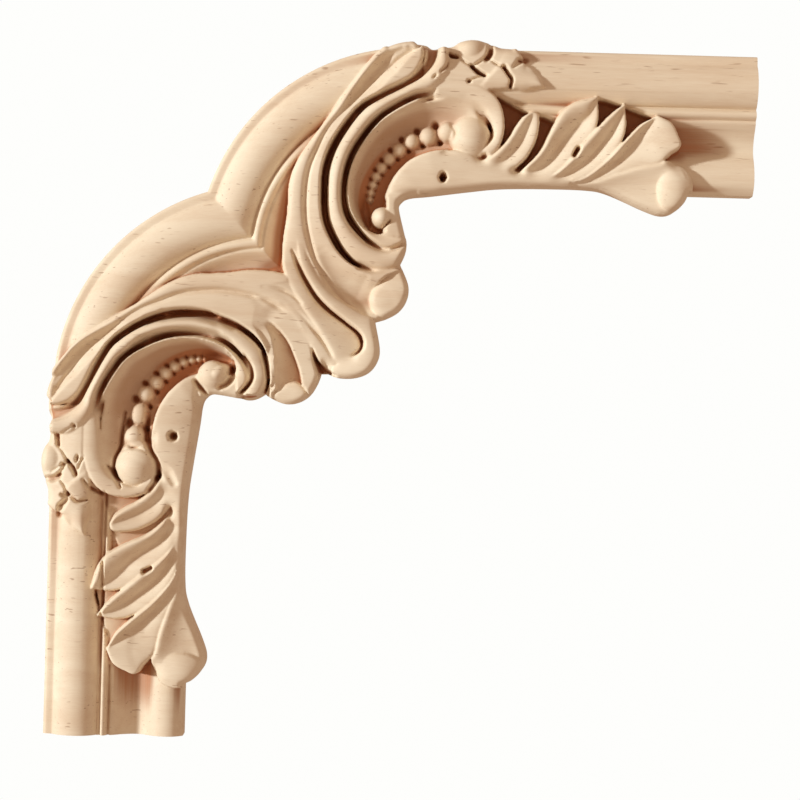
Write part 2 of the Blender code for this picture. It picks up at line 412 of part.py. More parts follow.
def middleLeaf(r):
    # the lower ribbon's end, folded down along the middle leaf
    r.band(edge(((84, 98), (94, 104), (99.6, 112), (102.2, 119), (105, 125), (109, 129.6), (114.5, 133.4)),
                (19.4, 20, 19.6, 18)),
           edge(((94, 96), (100, 105.4), (106, 114), (110.4, 121), (114.6, 127), (119, 133.4)),
                (19.8, 19.4, 19, 18)),
           bow=0.5, turn=1.6, drop=([0, 0, 0, 0.4, 1.0, 1.0, 1.0], 0.3), soften=1.2, fade=(0.3, 0.1))
    # a long hollow leaf over the meeting of the two halves
    r.band(edge(((91, 78), (92, 88), (94.6, 97), (99.6, 105.4), (105, 113), (109.6, 119.8), (113.6, 126.4),
                 (118, 134)), (19.8, 20.4, 20.6, 20.4, 18.6)),
           edge(((97, 78), (99, 88), (106, 101), (117.4, 110.4), (124, 116.4), (124.8, 124), (119, 134)),
                (20, 19.2, 17, 16.6, 18.6)), bow=(0, 0.4, 0.6, 0.6, 0), turn=1.8, crest=0.3,
           drop=([0, 0.1, 0.8, 1.1, 0.9, 0], 0.0), soften=1.2, fade=(0.2, 0.0))
    # the rim that wraps round its end
    r.band(edge(((96, 80), (97.6, 88), (104.8, 100.6), (117, 111.2), (123.6, 116.6), (123.8, 122.8),
                 (118.5, 126.8), (112.5, 129.4)), (20.4, 21.2, 21.6, 21, 18.6)),
           edge(((99.8, 80), (103.4, 88.4), (111, 99.4), (122, 106.8), (129.4, 111), (133.2, 120),
                 (132, 128.5), (127.4, 134.5), (119, 137), (111.5, 135.5)), (20.2, 20, 19.6, 19.2, 18.2)),
           bow=1.0, turn=1.7, drop=([0.4, 1.4, 1.4, 1.4, 0.8, 0, 0], 0.8), soften=0.8, fade=(0.16, 0.0))
    r.groove(middleGrooveLine, (0.6, 1.1, 1.3, 1.3, 1.1, 1.1, 1.2, 0.6), (1, 4, 5, 5, 4.4, 4.6, 4.6, 0.8),
             power=3)
    # creases on its left and the dark notch where the lower lobe turns away
    r.groove(((84, 98.4), (90, 99), (95.6, 101.2), (99.6, 104.4)), (0.9, 1.2, 0.9), (0.3, 1.3, 0.4))
    r.groove(((92, 105), (98, 108.2), (104, 114), (109, 120), (112.6, 126)),
             (0.9, 1.2, 1.2, 0.9), (0.2, 0.8, 0.9, 0.3))
    r.groove(((104.4, 122.4), (105.6, 126.6), (107.4, 130.6), (109.6, 134.6)), (0.5, 1.1, 1.7, 2.4),
             (1.2, 7, 9, 9))
    r.groove(((108, 130), (111, 131.6), (114.2, 133)), (1.2, 0.8, 0.5), (5, 4, 2))
    r.sand(((110.6, 128.4), (113.4, 127.6), (117, 127.2), (120, 126.8)), 3.6, 1.6)
    r.sand(((86, 99), (92, 103), (97, 108), (100.6, 113.6), (103, 119)), 3.0, 1.2)


def slide(u, v):
    # how far the lower half's carving lies off the mirror image of the upper half's: across, along
    along = 5.0 * smooth(v, 70, 92) - 2.2 * smooth(u, 55, 85) * smooth(v, 105, 125)
    across = -2.8 * smooth(u, 78, 94) * smooth(v, 95, 120)
    return across, along


def drift(u, v):
    # the lower half's lines lie apart from the slid ones round its lobe: the slide as read at the marks
    across, along = slide(u, v)
    total = 0.02
    across, along = across * total, along * total
    for u0, v0, overAcross, overAlong in lowerMarks:
        weight = np.exp(-((u - u0) ** 2 + (v - v0) ** 2) / (2 * markReach ** 2))
        across = across + weight * overAcross
        along = along + weight * overAlong
        total = total + weight
    return across / total, along / total


def lowerHalf(points):
    p = np.array(points)[:, ::-1]
    return p + np.stack(slide(p[:, 0], p[:, 1]), axis=1)


def rims():
    # the edges of the carving: leaf tips past the outer edge, and the inner edge from arm to arm
    tips = curve(((181, 0), (176.5, -0.3), (172.5, -1.8), (168.5, -3), (164, -3.1), (160, -2.2),
                  (157, -0.4), (153, 0), (149.5, -0.4), (145, -1.5), (140, -1.6), (135.5, -0.8),
                  (tipEnd, 0.7)))
    scrollSide = curve(((253.5, armWidth), (251.6, 60), (248, 63.4), (243.5, 64.3), (237, 62.4),
                        (222, 56.2), (213, 54.6), (195, 54.5), (178, 55.1), (165, 56.7), (150, 58.9),
                        (142, 59.9), (138.6, 61.6), (137.4, 65), (139.8, 75), (140.9, 79), (140.3, 83),
                        (138.4, 87.4)))
    lobe = curve(((138.4, 87.4), (142, 96), (141.6, 101.5), (138.6, 106.2), (133.8, 109.2), (129.1, 110.8)))
    middle = curve(((129.1, 110.8), (131.2, 121.5), (130.3, 127), (127, 131.4), (121.5, 133.7),
                    (115, 133.9), (110.5, 132.4)))
    inner = np.vstack([scrollSide[:-1], lobe[:-1]])
    return tips, inner, middle, lowerHalf(inner), lowerHalf(tips)


def lobeArc():
    # the upper lobe's edge, from the leaf tip down to the valley on the diagonal
    gap = lobeCentre[0] - lobeCentre[1]
    valley = (sum(lobeCentre) - np.sqrt(2 * lobeRadius ** 2 - gap ** 2)) / 2
    start = np.arccos((tipEnd - lobeCentre[0]) / lobeRadius)
    end = np.arccos((valley - lobeCentre[0]) / lobeRadius)
    turn = np.linspace(start, end, 40)
    return np.stack([lobeCentre[0] + lobeRadius * np.cos(turn), lobeCentre[1] - lobeRadius * np.sin(turn)],
                    axis=1)


def pieceOutline():
    tips, inner, middle, innerLow, tipsLow = rims()
    arc = lobeArc()
    upperEnd, lowerEnd = (legLength, armWidth), (armWidth, legLength)
    return np.vstack([[(legLength, 0)], tips, arc[1:], arc[-2:0:-1, ::-1], tipsLow[::-1], [(0, legLength)],
                      [lowerEnd], innerLow, middle[::-1], inner[::-1], [upperEnd]])


def turnOverRims(r):
    # the carving's outer rims turn over towards the wall
    apart = np.full(r.u.shape, rimTurn)
    for path in rims():
        w = r.window(path, rimTurn)
        apart[w] = np.minimum(apart[w], nearest(path[::2], r.u[w], r.v[w])[0])
    x = np.clip(apart / rimTurn, 0, 1)
    r.z -= rimFall * (1 - np.sqrt(1 - (1 - x) ** 2))


def carve(r, steps):
    # the upper half, its slid mirror image below the diagonal, then the middle leaf over both
    for step in steps:
        step(r)
    across, along = drift(r.u, r.v)
    mirrored = r.read(r.z, r.v - along, r.u - across)
    carved = smooth(r.read(r.carved, r.v - along, r.u - across), 0.3, 0.7)
    moulding = mouldingHeight(r.u, r.v)
    r.z = np.where(r.v > r.u, moulding + (mirrored - moulding) * carved, r.z)
    # on the side arm the ground between the leaves lies shallower
    ground = lowerHalf(groundTop + groundFoot[::-1])
    w = r.window(ground, 0)
    r.z[w] = np.where(inside(ground, r.u[w], r.v[w]), np.maximum(r.z[w], sideGround), r.z[w])
    lowerLobe(r)
    middleLeaf(r)
    turnOverRims(r)


def cellsWithin(outline, line):
    # the grid's squares whose middles lie in the piece, with none of them joined by a corner alone
    middle = (line[:-1] + line[1:]) / 2
    kept = inside(outline, *np.meshgrid(middle, middle))
    while True:
        a, b, c, d = kept[:-1, :-1], kept[:-1, 1:], kept[1:, :-1], kept[1:, 1:]
        falling = a & d & ~b & ~c
        rising = b & c & ~a & ~d
        if not (falling.any() or rising.any()):
            return kept
        kept[:-1, 1:] |= falling
        kept[:-1, :-1] |= rising


def rimOrder(kept, width):
    # the grid points round the kept squares, as one closed loop
    padded = np.pad(kept, 1)
    nextPoint = {}
    for j, i in zip(*np.nonzero(padded[1:-1, 1:-1])):
        corner = j * width + i
        if not padded[j, i + 1]:
            nextPoint[corner] = corner + 1
        if not padded[j + 1, i + 2]:
            nextPoint[corner + 1] = corner + 1 + width
        if not padded[j + 2, i + 1]:
            nextPoint[corner + 1 + width] = corner + width
        if not padded[j + 1, i]:
            nextPoint[corner + width] = corner
    loop = [min(nextPoint)]
    while nextPoint[loop[-1]] != loop[0]:
        loop.append(nextPoint[loop[-1]])
    return np.array(loop)


def onOutline(outline, u, v):
    # the outline's nearest point to each given point
    best, place = np.full(u.shape, 1e12), np.zeros((2, len(u)))
    for a, b in zip(outline, np.roll(outline, -1, axis=0)):
        along = b - a
        t = np.clip(((u - a[0]) * along[0] + (v - a[1]) * along[1]) / max(along @ along, 1e-9), 0, 1)
        point = a[:, None] + along[:, None] * t
        apart = (u - point[0]) ** 2 + (v - point[1]) ** 2
        place = np.where(apart < best, point, place)
        best = np.minimum(apart, best)
    return place


def solidMesh(name, relief, cell):
    # one closed body: the carved face, a straight wall round it and the flat back
    line = np.arange(relief.line[0], relief.line[-1] + cell / 2, cell)
    outline = pieceOutline()
    kept = cellsWithin(outline, line)
    width = len(line)
    rows, columns = np.nonzero(kept)
    corner = rows * width + columns
    squares = np.stack([corner, corner + width, corner + width + 1, corner + 1], axis=1)
    used, squares = np.unique(squares, return_inverse=True)
    squares = squares.reshape(-1, 4)
    u, v = line[used % width], line[used // width]
    rim = np.searchsorted(used, rimOrder(kept, width))
    u[rim], v[rim] = onOutline(outline, u[rim], v[rim])
    height = relief.read(relief.z, u, v)
    origin = np.array(mountAt)
    top = np.stack([u - origin[0], -height, origin[1] - v], axis=1)
    bottom = top[rim] * (1, 0, 1)
    foot = len(top) + np.arange(len(rim))
    walls = np.stack([rim, np.roll(rim, -1), np.roll(foot, -1), foot], axis=1)
    mesh = bpy.data.meshes.new(name)
    points = np.vstack([top, bottom]) * mm
    mesh.from_pydata(points.tolist(), [], squares.tolist() + walls.tolist() + [foot.tolist()])
    mesh.validate()
    return mesh


def beech():
    material = bpy.data.materials.new("pale_wood")
    material.use_nodes = True
    shader = material.node_tree.nodes["Principled BSDF"]
    shader.inputs["Base Color"].default_value = woodColour
    shader.inputs["Roughness"].default_value = 0.6
    shader.inputs["Metallic"].default_value = 0.0
    return material


def cornerOnlay():
    relief = Relief(gridLow, gridHigh, gridStep)
    carve(relief, (scaleLeaves, leafSpray, scroll, ribbons, deepCuts))
    relief.z = np.maximum(blur(relief.z, 0.6), leastThickness)
    mesh = solidMesh("corner_onlay", relief, cellSize)
    mesh.materials.append(beech())
    onlay = bpy.data.objects.new("corner_onlay", mesh)
    bpy.context.collection.objects.link(onlay)
    # fewer, larger faces where the surface is plain
    lighter = onlay.modifiers.new("lighter", "DECIMATE")
    lighter.ratio = facesWanted / sum(len(face.vertices) - 2 for face in mesh.polygons)
    return onlay


for thing in list(bpy.data.objects):
    bpy.data.objects.remove(thing)
cornerOnlay()
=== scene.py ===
import math
import bpy
import numpy as np
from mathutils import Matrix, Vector


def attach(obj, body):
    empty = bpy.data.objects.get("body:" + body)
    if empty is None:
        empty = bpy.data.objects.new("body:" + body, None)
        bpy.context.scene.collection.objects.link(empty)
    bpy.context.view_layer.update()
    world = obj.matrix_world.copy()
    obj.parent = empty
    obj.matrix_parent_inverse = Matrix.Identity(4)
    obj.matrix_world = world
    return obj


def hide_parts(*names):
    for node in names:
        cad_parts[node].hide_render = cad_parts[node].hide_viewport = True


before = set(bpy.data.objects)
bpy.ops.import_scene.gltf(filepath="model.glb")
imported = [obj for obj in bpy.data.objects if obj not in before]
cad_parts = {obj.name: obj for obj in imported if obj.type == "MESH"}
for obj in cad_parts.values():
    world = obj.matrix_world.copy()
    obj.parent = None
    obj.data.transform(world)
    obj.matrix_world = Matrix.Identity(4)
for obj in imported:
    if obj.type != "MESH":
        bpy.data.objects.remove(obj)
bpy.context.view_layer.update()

# all lengths of the drawing are in millimetres: u runs right along the upper arm, v down the side arm
legLength = 280.0
armWidth = 56.0
lobeCentre = (142.0, 85.5)
lobeRadius = 85.5
tipEnd = 131.5          # the leaf tip ends here, and the lobe's round edge begins
rimTurn = 2.4           # width over which the carving's outer rim turns down
rimFall = 3.6
sideGround = 13.2       # height of the ground between the side arm's leaves
markReach = 5.0         # how far round it each mark on the lower half counts
firstBead = 4.2         # radius of the largest bead
beadShrink = 0.88
beadSeat = (12.2, 10, 8, 7, 6.4)    # height of the beads' middles over the back, first to last

# the moulding's section: (distance in from the outer edge, height over the back)
mouldingProfile = ((0, 11.2), (0.8, 12.4), (3.4, 12.8), (3.9, 12.9), (6, 15), (9, 16.5), (12.5, 17.2),
                   (16, 16.8), (19, 15.3), (20.8, 13.6), (21.5, 12.2), (22.3, 13.6), (23.2, 14.3),
                   (24.2, 14.3), (25.2, 13.6), (25.9, 12.2), (26.8, 12.6), (28.5, 11.6), (31, 9.6),
                   (34, 7.9), (37, 7.2), (39.5, 7.9), (42.5, 10.3), (46, 12.3), (49.5, 12.9), (52.5, 12.2),
                   (54.8, 10.4), (56, 8.8))

# what a user would change on the onlay; lengths in millimetres
onlay = {
    "mountAt": (95.0, 95.0),     # the back's fixing point, which is the origin
    "leastThickness": 4.0,
    "gridLow": -6.0,
    "gridHigh": 286.0,
    "gridStep": 0.25,
    "cell": 0.4,
    "triangles": 195000,
    "toolSoftness": 0.22,        # sanding after the cutter
    "sharpFrom": 62,             # degrees between faces that keep a sharp edge
    "hollowReach": {"creviceShade": 0.9, "hollow": 4.5},    # how far round a spot each painted shade looks
    "rimFade": 1.4,              # the painted shade fades this near the piece's edge
    # blur of the painted shade in the deep hollows
    "deepHollowShadeSoftness": 0.5,
}
mm = 0.001
mountAt = onlay["mountAt"]

# the drawing's main lines, run as smooth curves through these points
leafLine = ((141, -3), (133, -1.4), (125.5, 4.2), (117.5, 15.5), (109, 28), (101, 39.5), (95.8, 48),
            (93.2, 56.5), (92.6, 68), (91.2, 82), (93, 95.5), (106, 108))
creaseLine = ((143.5, 1), (136, 6), (126, 15), (109.5, 32.5), (103.6, 44), (100.9, 51.5), (99.9, 61),
              (100.6, 72.5), (103.8, 84.5), (108, 92.5), (113, 99.5), (120, 106), (130, 111.5))
firstGrooveLine = ((150, 0), (148.6, 6), (144.4, 11.6), (138, 15.8), (130, 19.9), (121, 25.8), (112.6, 37.5),
                   (108.4, 47.5), (107.3, 57), (108.2, 70), (112.8, 80), (118.5, 86.6), (125, 89.6),
                   (131.5, 90.6), (140, 88))
secondGrooveLine = ((150, 18.4), (142, 20.8), (130, 28), (122.2, 37), (117.2, 46.5), (115.2, 57),
                    (116.2, 66.5), (120.4, 73.6), (126.5, 79.4), (133.5, 82), (142, 78.6))
scrollRimLine = ((164, 19.8), (155, 20.6), (148.9, 21.8), (141.1, 24.4), (129.6, 32), (121.4, 42.4),
                 (118, 53), (118, 62), (120.4, 69.6), (125, 74), (131, 75.4))
hollowFootLine = ((170, 29.6), (158, 29.4), (149, 30.6), (141, 33), (134.5, 37), (129, 42.4), (124.6, 49.5),
                  (121.8, 57), (121.6, 65), (125.6, 72.6))
beadLine = ((156.2, 33.9), (148.4, 35.6), (141.8, 37.4), (136.8, 41.2), (132.7, 45), (128.9, 50),
            (126.4, 56), (125.4, 62))
stemLine = ((134.2, 63), (131.6, 61), (132.4, 57.5), (135, 52.1), (140, 46.4), (146.7, 42.8), (154.5, 41.2),
            (163, 42.5), (176, 47.5), (190, 51), (206, 52.5))
middleGrooveLine = ((95.4, 83.5), (98.2, 90), (101.2, 95.6), (105.4, 101.8), (110.4, 106.8), (117, 111.4),
                    (122.6, 115.8), (124.4, 120), (123.2, 123), (120.2, 125))
groundTop = ((172, 18), (180, 21.5), (189, 26), (195, 27), (200, 29), (207, 24), (216, 19.6), (226, 21.8),
             (238, 26))
groundFoot = ((174, 46.6), (190, 50), (206, 50), (222, 48), (238, 40))
# marks on the lower half: (u, v, how far across and along they lie off the mirror image)
lowerMarks = ((9, 147, -0.2, 2), (14, 141, 0, 0.4), (20, 129, 0, -1), (28, 119, 0, 0.2),
              (37.5, 113.3, 0, 0.7), (47.5, 110.6, 0, 2.2), (57, 110, 0, 2.7), (70, 114, 0, 5.8),
              (79, 118.6, -1, 5.8), (83.4, 123.4, -3.2, 5), (85.4, 128.4, -4.2, 3.4), (86.6, 135, -4, 3.5),
              (19.8, 141, -1, -1), (27.4, 128.8, -0.6, -1.2), (36.5, 121.2, -0.5, -1),
              (46.5, 117.6, 0, 0.4), (57, 116.7, 0, 1.5), (66, 118.3, -0.5, 2), (73, 122, -0.6, 1.6),
              (77.6, 127, -1.8, 0.5), (80.2, 134, -1.8, 0.5), (76, 142, -2.6, 0), (24, 140, -0.4, -1),
              (42.4, 122.8, 0, 1.4), (53, 120.8, 0, 2.8), (62, 121.6, 0, 3.6), (69, 124, -0.6, 3.6),
              (72, 128, -2, 3), (37.5, 142, 0, 0.2), (45, 133.3, 0, 0.6), (50, 129.8, 0, 0.9),
              (56, 127.7, 0, 1.3), (48, 141.5, 1, 1.5), (53, 136, 1, 1), (64, 134, -4, 3),
              (36.2, 148, 0, 1.4), (35.4, 155, -0.3, 3), (34.6, 162, -0.3, 5),
              (45, 103.4, 0, 0.6), (57, 100, 0, 0.4), (68, 99.6, 0, 0), (78, 100.4, 0, -0.4),
              (88, 103.8, 0, -0.6))


def smooth(x, low, high):
    t = np.clip((x - low) / (high - low), 0, 1)
    return t * t * (3 - 2 * t)


def curve(points, steps=8):
    # a smooth line through the points; their further columns are carried along it
    p = np.array(points, float)
    ends = np.vstack([2 * p[0] - p[1], p, 2 * p[-1] - p[-2]])
    t = np.linspace(0, 1, steps, endpoint=False)[:, None]
    runs = []
    for a, b, c, d in zip(ends, ends[1:], ends[2:], ends[3:]):
        cubic = (3 * b - a - 3 * c + d) * t ** 3
        runs.append(0.5 * (2 * b + (c - a) * t + (2 * a - 5 * b + 4 * c - d) * t ** 2 + cubic))
    return np.vstack(runs + [p[-1:]])


def spread(values, share):
    # one value, or a few that are spread evenly along something, read at a share of its length
    values = np.atleast_1d(values)
    return np.interp(share, np.linspace(0, 1, len(values)), values)


def measured(path):
    # a path, and how far along it each of its points lies
    return path, np.concatenate([[0], np.cumsum(np.hypot(*np.diff(path[:, :2], axis=0).T))])


def edge(points, heights, aside=0.0):
    # a band's edge: a curve through the points, moved aside, with heights spread evenly along its length
    path, run = measured(curve(points))
    share = run / run[-1]
    du, dv = np.gradient(path[:, 0]), np.gradient(path[:, 1])
    away = np.stack([-dv, du], axis=1) / np.maximum(np.hypot(du, dv), 1e-9)[:, None]
    return np.column_stack([path + away * spread(aside, share)[:, None], spread(heights, share)])


def nearest(path, u, v):
    # distance to the path, share of its length at the nearest point, and the path's further columns there
    _, run = measured(path)
    best = np.full(u.shape, 1e12)
    share = np.zeros(u.shape)
    columns = [np.zeros(u.shape) for _ in range(path.shape[1] - 2)]
    for k, (a, b) in enumerate(zip(path, path[1:])):
        along = b[:2] - a[:2]
        t = np.clip(((u - a[0]) * along[0] + (v - a[1]) * along[1]) / max(along @ along, 1e-9), 0, 1)
        apart = (u - a[0] - t * along[0]) ** 2 + (v - a[1] - t * along[1]) ** 2
        closer = apart < best
        best = np.where(closer, apart, best)
        share = np.where(closer, (run[k] + t * (run[k + 1] - run[k])) / run[-1], share)
        for n, column in enumerate(columns):
            columns[n] = np.where(closer, a[2 + n] + t * (b[2 + n] - a[2 + n]), column)
    return np.sqrt(best), share, columns


def inside(outline, u, v):
    # even and odd crossings of a closed outline
    within = np.zeros(u.shape, bool)
    for (u0, v0), (u1, v1) in zip(outline, np.roll(outline, -1, axis=0)):
        if v0 != v1:
            within ^= ((v0 > v) != (v1 > v)) & (u < (u1 - u0) * (v - v0) / (v1 - v0) + u0)
    return within


def blur(z, cells):
    reach = int(np.ceil(2.5 * cells))
    weights = np.exp(-0.5 * (np.arange(-reach, reach + 1) / cells) ** 2)
    weights /= weights.sum()
    for axis in (0, 1):
        padded = np.pad(z, [(reach, reach) if n == axis else (0, 0) for n in (0, 1)], mode="edge")
        size = z.shape[axis]
        z = sum(w * np.take(padded, range(k, k + size), axis=axis) for k, w in enumerate(weights))
    return z


class Relief:
    # heights over a square grid, with a mark wherever they have been carved
    def __init__(self, low, high, step):
        self.step = step
        self.line = np.arange(low, high + step / 2, step)
        self.u, self.v = np.meshgrid(self.line, self.line)
        self.z = mouldingHeight(self.u, self.v)
        self.carved = np.zeros(self.u.shape)

    def window(self, path, margin):
        low = np.floor((path[:, :2].min(axis=0) - margin - self.line[0]) / self.step).astype(int)
        high = np.ceil((path[:, :2].max(axis=0) + margin - self.line[0]) / self.step).astype(int) + 1
        low, high = np.clip(low, 0, len(self.line)), np.clip(high, 0, len(self.line))
        return slice(low[1], high[1]), slice(low[0], high[0])

    def read(self, layer, u, v):
        # a layer's value between the grid's points
        i = np.clip((u - self.line[0]) / self.step, 0, len(self.line) - 1.001)
        j = np.clip((v - self.line[0]) / self.step, 0, len(self.line) - 1.001)
        i0, j0 = i.astype(int), j.astype(int)
        a, b = i - i0, j - j0
        top = layer[j0, i0] * (1 - a) + layer[j0, i0 + 1] * a
        return top * (1 - b) + (layer[j0 + 1, i0] * (1 - a) + layer[j0 + 1, i0 + 1] * a) * b

    def band(self, left, right, bow=0.0, turn=1.0, drop=1.5, crest=0.5, soften=0.4, fade=(0.0, 0.0)):
        # a band between two edges, laid over what is there; bow lifts or hollows its middle, which lies at
        # crest, its two rims turn down by drop over the width turn, and it fades in and out at its ends
        outline = np.vstack([left[:, :2], right[::-1, :2]])
        w = self.window(outline, 3 * soften + 1)
        u, v = self.u[w], self.v[w]
        toLeft, share, (highLeft,) = nearest(left, u, v)
        toRight, _, (highRight,) = nearest(right, u, v)
        s = toLeft / np.maximum(toLeft + toRight, 1e-6)
        arch = np.where(s < crest, s / crest, (1 - s) / (1 - crest))
        z = highLeft * (1 - s) + highRight * s + spread(bow, share) * arch * (2 - arch)
        z = blur(z, soften / self.step)
        falls = []
        for apart, fall in zip((toLeft, toRight), drop if isinstance(drop, tuple) else (drop, drop)):
            rim = np.clip(apart / turn, 0, 1)
            falls.append(spread(fall, share) * (1 - np.sqrt(1 - (1 - rim) ** 2)))
        z -= np.maximum(*falls)
        cover = inside(outline, u, v) * 1.0
        for length, along in zip(fade, (share, 1 - share)):
            if length:
                cover *= smooth(along, 0, length)
        self.z[w] += (z - self.z[w]) * cover
        self.carved[w] = np.maximum(self.carved[w], cover)

    def groove(self, points, halfWidths, depths, power=2.0):
        # a cut whose half widths and depths are spread along it; power 1 is a V, 2 is round, more is square
        path = edge(points, (0,))
        w = self.window(path, max(halfWidths))
        apart, share, _ = nearest(path, self.u[w], self.v[w])
        x = np.clip(apart / spread(halfWidths, share), 0, 1)
        self.z[w] -= spread(depths, share) * (1 - x ** power) ** (1.5 if power > 1 else 1)
        self.carved[w] = np.maximum(self.carved[w], x < 1)

    def ball(self, u0, v0, radius, top, foot, stretch=1.0, power=0.5):
        # a dome, longer along v by stretch; power 0.5 is a ball, more runs out softer at its foot
        centre = np.array([[u0, v0]])
        w = self.window(centre, radius * stretch)
        x = np.hypot(self.u[w] - u0, (self.v[w] - v0) / stretch) / radius
        dome = foot + (top - foot) * np.clip(1 - x ** 2, 0, 1) ** power
        self.z[w] = np.where(x < 1, np.maximum(self.z[w], dome), self.z[w])
        self.carved[w] = np.maximum(self.carved[w], x < 1)

    def sand(self, points, width, softness):
        # rubs the relief smooth along a line
        path = curve(points)
        w = self.window(path, width + 3 * softness)
        apart, _, _ = nearest(path, self.u[w], self.v[w])
        self.z[w] += (blur(self.z[w], softness / self.step) - self.z[w]) * smooth(width - apart, 0, width)


def fromOuterEdge(u, v):
    # distance in from the moulding's outer edge: straight along each arm, round on the two lobes
    long, short = np.maximum(u, v), np.minimum(u, v)
    onLobe = lobeRadius - np.hypot(long - lobeCentre[0], short - lobeCentre[1])
    return np.where(long >= lobeCentre[0], short, onLobe)


def mouldingHeight(u, v):
    section = curve(mouldingProfile)
    return np.interp(fromOuterEdge(u, v), np.maximum.accumulate(section[:, 0]), section[:, 1])


def scaleLeaves(r):
    # the scales stand a little over the moulding along its outer edge, as one raised field
    r.band(edge(((146, 1), (157, -2.6), (165, -5.2), (172, -4), (180, -2), (184.8, 2.4), (187.4, 8),
                 (192, 10.8), (194.4, 15.4)), (14.6, 14.2, 14.4, 15.4, 18.2, 18.4)),
           edge(((146, 17), (158, 17.6), (168, 17.6), (176, 16.8), (185, 16.6), (194.4, 15.4)),
                (19.4, 19.2, 18.8, 18.4)), bow=2.0, turn=1.0, drop=(1.7, 0.5), crest=0.6)
    r.ball(164.6, 1.0, 7.0, 18.6, 14.4, power=1.0)
    r.ball(178.6, 3.2, 5.6, 17.4, 14.6, power=1.0)
    r.ball(186, 12, 5.2, 19.6, 18, power=1.0)
    # cuts between them: (line, half widths, depths)
    cuts = ((((155.4, 3.2), (159, 4)), (1.4, 0.9), (3.6, 2.4)),
            (((158.6, 3), (161, 5.4), (165.2, 8)), (0.6, 0.7), (1.0, 1.8)),
            (((172.4, -1), (172.2, 2.4), (170.8, 4.8)), (1.4, 1.8, 1.5), (3, 3.6, 3.2)),
            (((171, 3.6), (168.6, 5.6), (165.2, 8)), (0.8, 0.7), (1.6, 2.2)),
            (((164.8, 7.6), (167.8, 10.2), (170.6, 11.4)), (0.9, 1.2, 0.8), (4, 4.6, 4)),
            (((170, 11.8), (166.6, 12.7), (163.8, 14)), (0.5, 0.6), (1.2, 1.6)),
            (((172, 4.6), (175, 6.8), (178.4, 8.4)), (0.6, 0.7), (1.2, 2)),
            (((178, 8), (179.6, 10.6), (181, 12.6), (180.6, 15.8)), (1.3, 0.9, 0.8, 0.9), (4, 3.4, 3, 3.6)),
            (((187, 4.6), (184.6, 5), (181.6, 7.8)), (1.3, 1.6, 0.7), (1.6, 3, 1.4)))
    for line, halfWidths, depths in cuts:
        r.groove(line, halfWidths, depths, power=2.5)


def leaf(r, left, valley, right, ridgeHeights, valleyHeights, bodyHeights):
    # a thick ridge on the left that falls into a sharp valley, then a body that rises to the right
    low = edge(valley, valleyHeights)
    r.band(low, edge(right, bodyHeights), bow=0.9, turn=1.4, drop=(0.0, 1.6), crest=0.6, soften=1.0)
    r.band(edge(left, ridgeHeights), low, bow=1.7, turn=1.5, drop=(2.0, 0.0), crest=0.36, soften=0.5)


def leafSpray(r):
    # sunk ground behind the leaves, seen in the gaps between their tips
    r.band(edge(groundTop, (6.4, 5.8, 6.4)), edge(groundFoot, (6.5, 6, 6)), bow=-0.6, turn=0.5, drop=0)
    # four fluted leaves that rise out of the stem: left edge, valley, right edge and their heights
    leaf(r, ((162, 47), (169, 45.6), (174.4, 42.4), (178, 38.6), (180.6, 35.2), (182.8, 31.2), (186, 27),
             (190, 25)),
         ((166, 50.6), (174, 48), (180.4, 43.8), (184.8, 38.2), (187.6, 32), (190, 25)),
         ((168, 54.5), (178, 52), (186.4, 45.6), (189.8, 41), (192, 36), (193, 30), (192.4, 26), (190, 25)),
         (16.6, 17.6, 18, 18.4), (15.8, 15.6, 15.6, 18), (15, 17, 17.4, 18))
    leaf(r, ((174, 52), (183, 50.4), (189, 45.4), (193.5, 40), (196.3, 34), (199, 28.6), (202.4, 23.6),
             (207.6, 20.4), (215.9, 18.4)),
         ((174, 54), (184, 52.2), (190, 49.5), (195.5, 46), (199, 41.6), (204, 35), (210, 29), (213.6, 25),
          (215.9, 18.4)),
         ((174, 57), (190, 54.5), (202, 48.6), (209, 41), (214.4, 34), (216.6, 27), (215.9, 18.4)),
         (15.4, 17.6, 18.8, 19, 19), (14.4, 13.8, 14.2, 15, 18.4), (14, 15.6, 16.8, 17.6, 18.4))
    leaf(r, ((190, 53), (199, 49.6), (205.4, 43.4), (210, 37.4), (215.7, 30.8), (219, 27), (223, 23.3),
             (226.8, 20.8)),
         ((190, 55), (200, 51.6), (206, 48.5), (211, 45.5), (215, 41.5), (218, 37.5), (221.6, 32.5),
          (224.6, 27), (226.8, 20.8)),
         ((190, 57), (205, 54), (215, 49), (222, 42.6), (226.4, 35.6), (227.8, 29), (226.8, 20.8)),
         (15.4, 17.6, 18.8, 19, 19), (14.2, 13.8, 14.2, 15, 18.4), (14, 15.6, 16.8, 17.6, 18.4))
    leaf(r, ((203, 53.6), (212, 50), (219.5, 43.8), (225.5, 37), (229.4, 32.6), (233.4, 28.6), (240, 25.2)),
         ((203, 55.4), (213, 51.6), (220, 47.2), (225.4, 42.6), (229.6, 37.6), (234, 32), (240, 25.2)),
         ((203, 57), (215, 54), (224, 50), (232, 47), (241, 44.6), (246, 40.6), (249.8, 37.4), (248.6, 33),
          (245.6, 28), (240, 25.2)),
         (15.4, 17.8, 19.2, 19.6), (14.2, 14, 14.8, 19), (14, 14.8, 16.6, 19.4, 19.4))
    # fifth leaf, the end lobe that hangs past the inner edge: a hollow and a raised pad at its end
    r.band(edge(((200, 53.5), (214, 52), (224, 48.8), (233, 46), (241, 44.4), (244, 43), (249, 45.2),
                 (252.6, 51), (252.6, 59), (250, 65)), (15, 17, 18.6, 19.8, 17.6)),
           edge(((200, 58), (214, 59), (229, 63), (237, 66.5), (250, 67)), (12.5, 14, 16.4)),
           bow=-2.0, turn=1.9, drop=(1.5, 0.6), soften=1.6)
    r.ball(248, 54.4, 7.2, 19.4, 16.2, stretch=1.35, power=0.8)


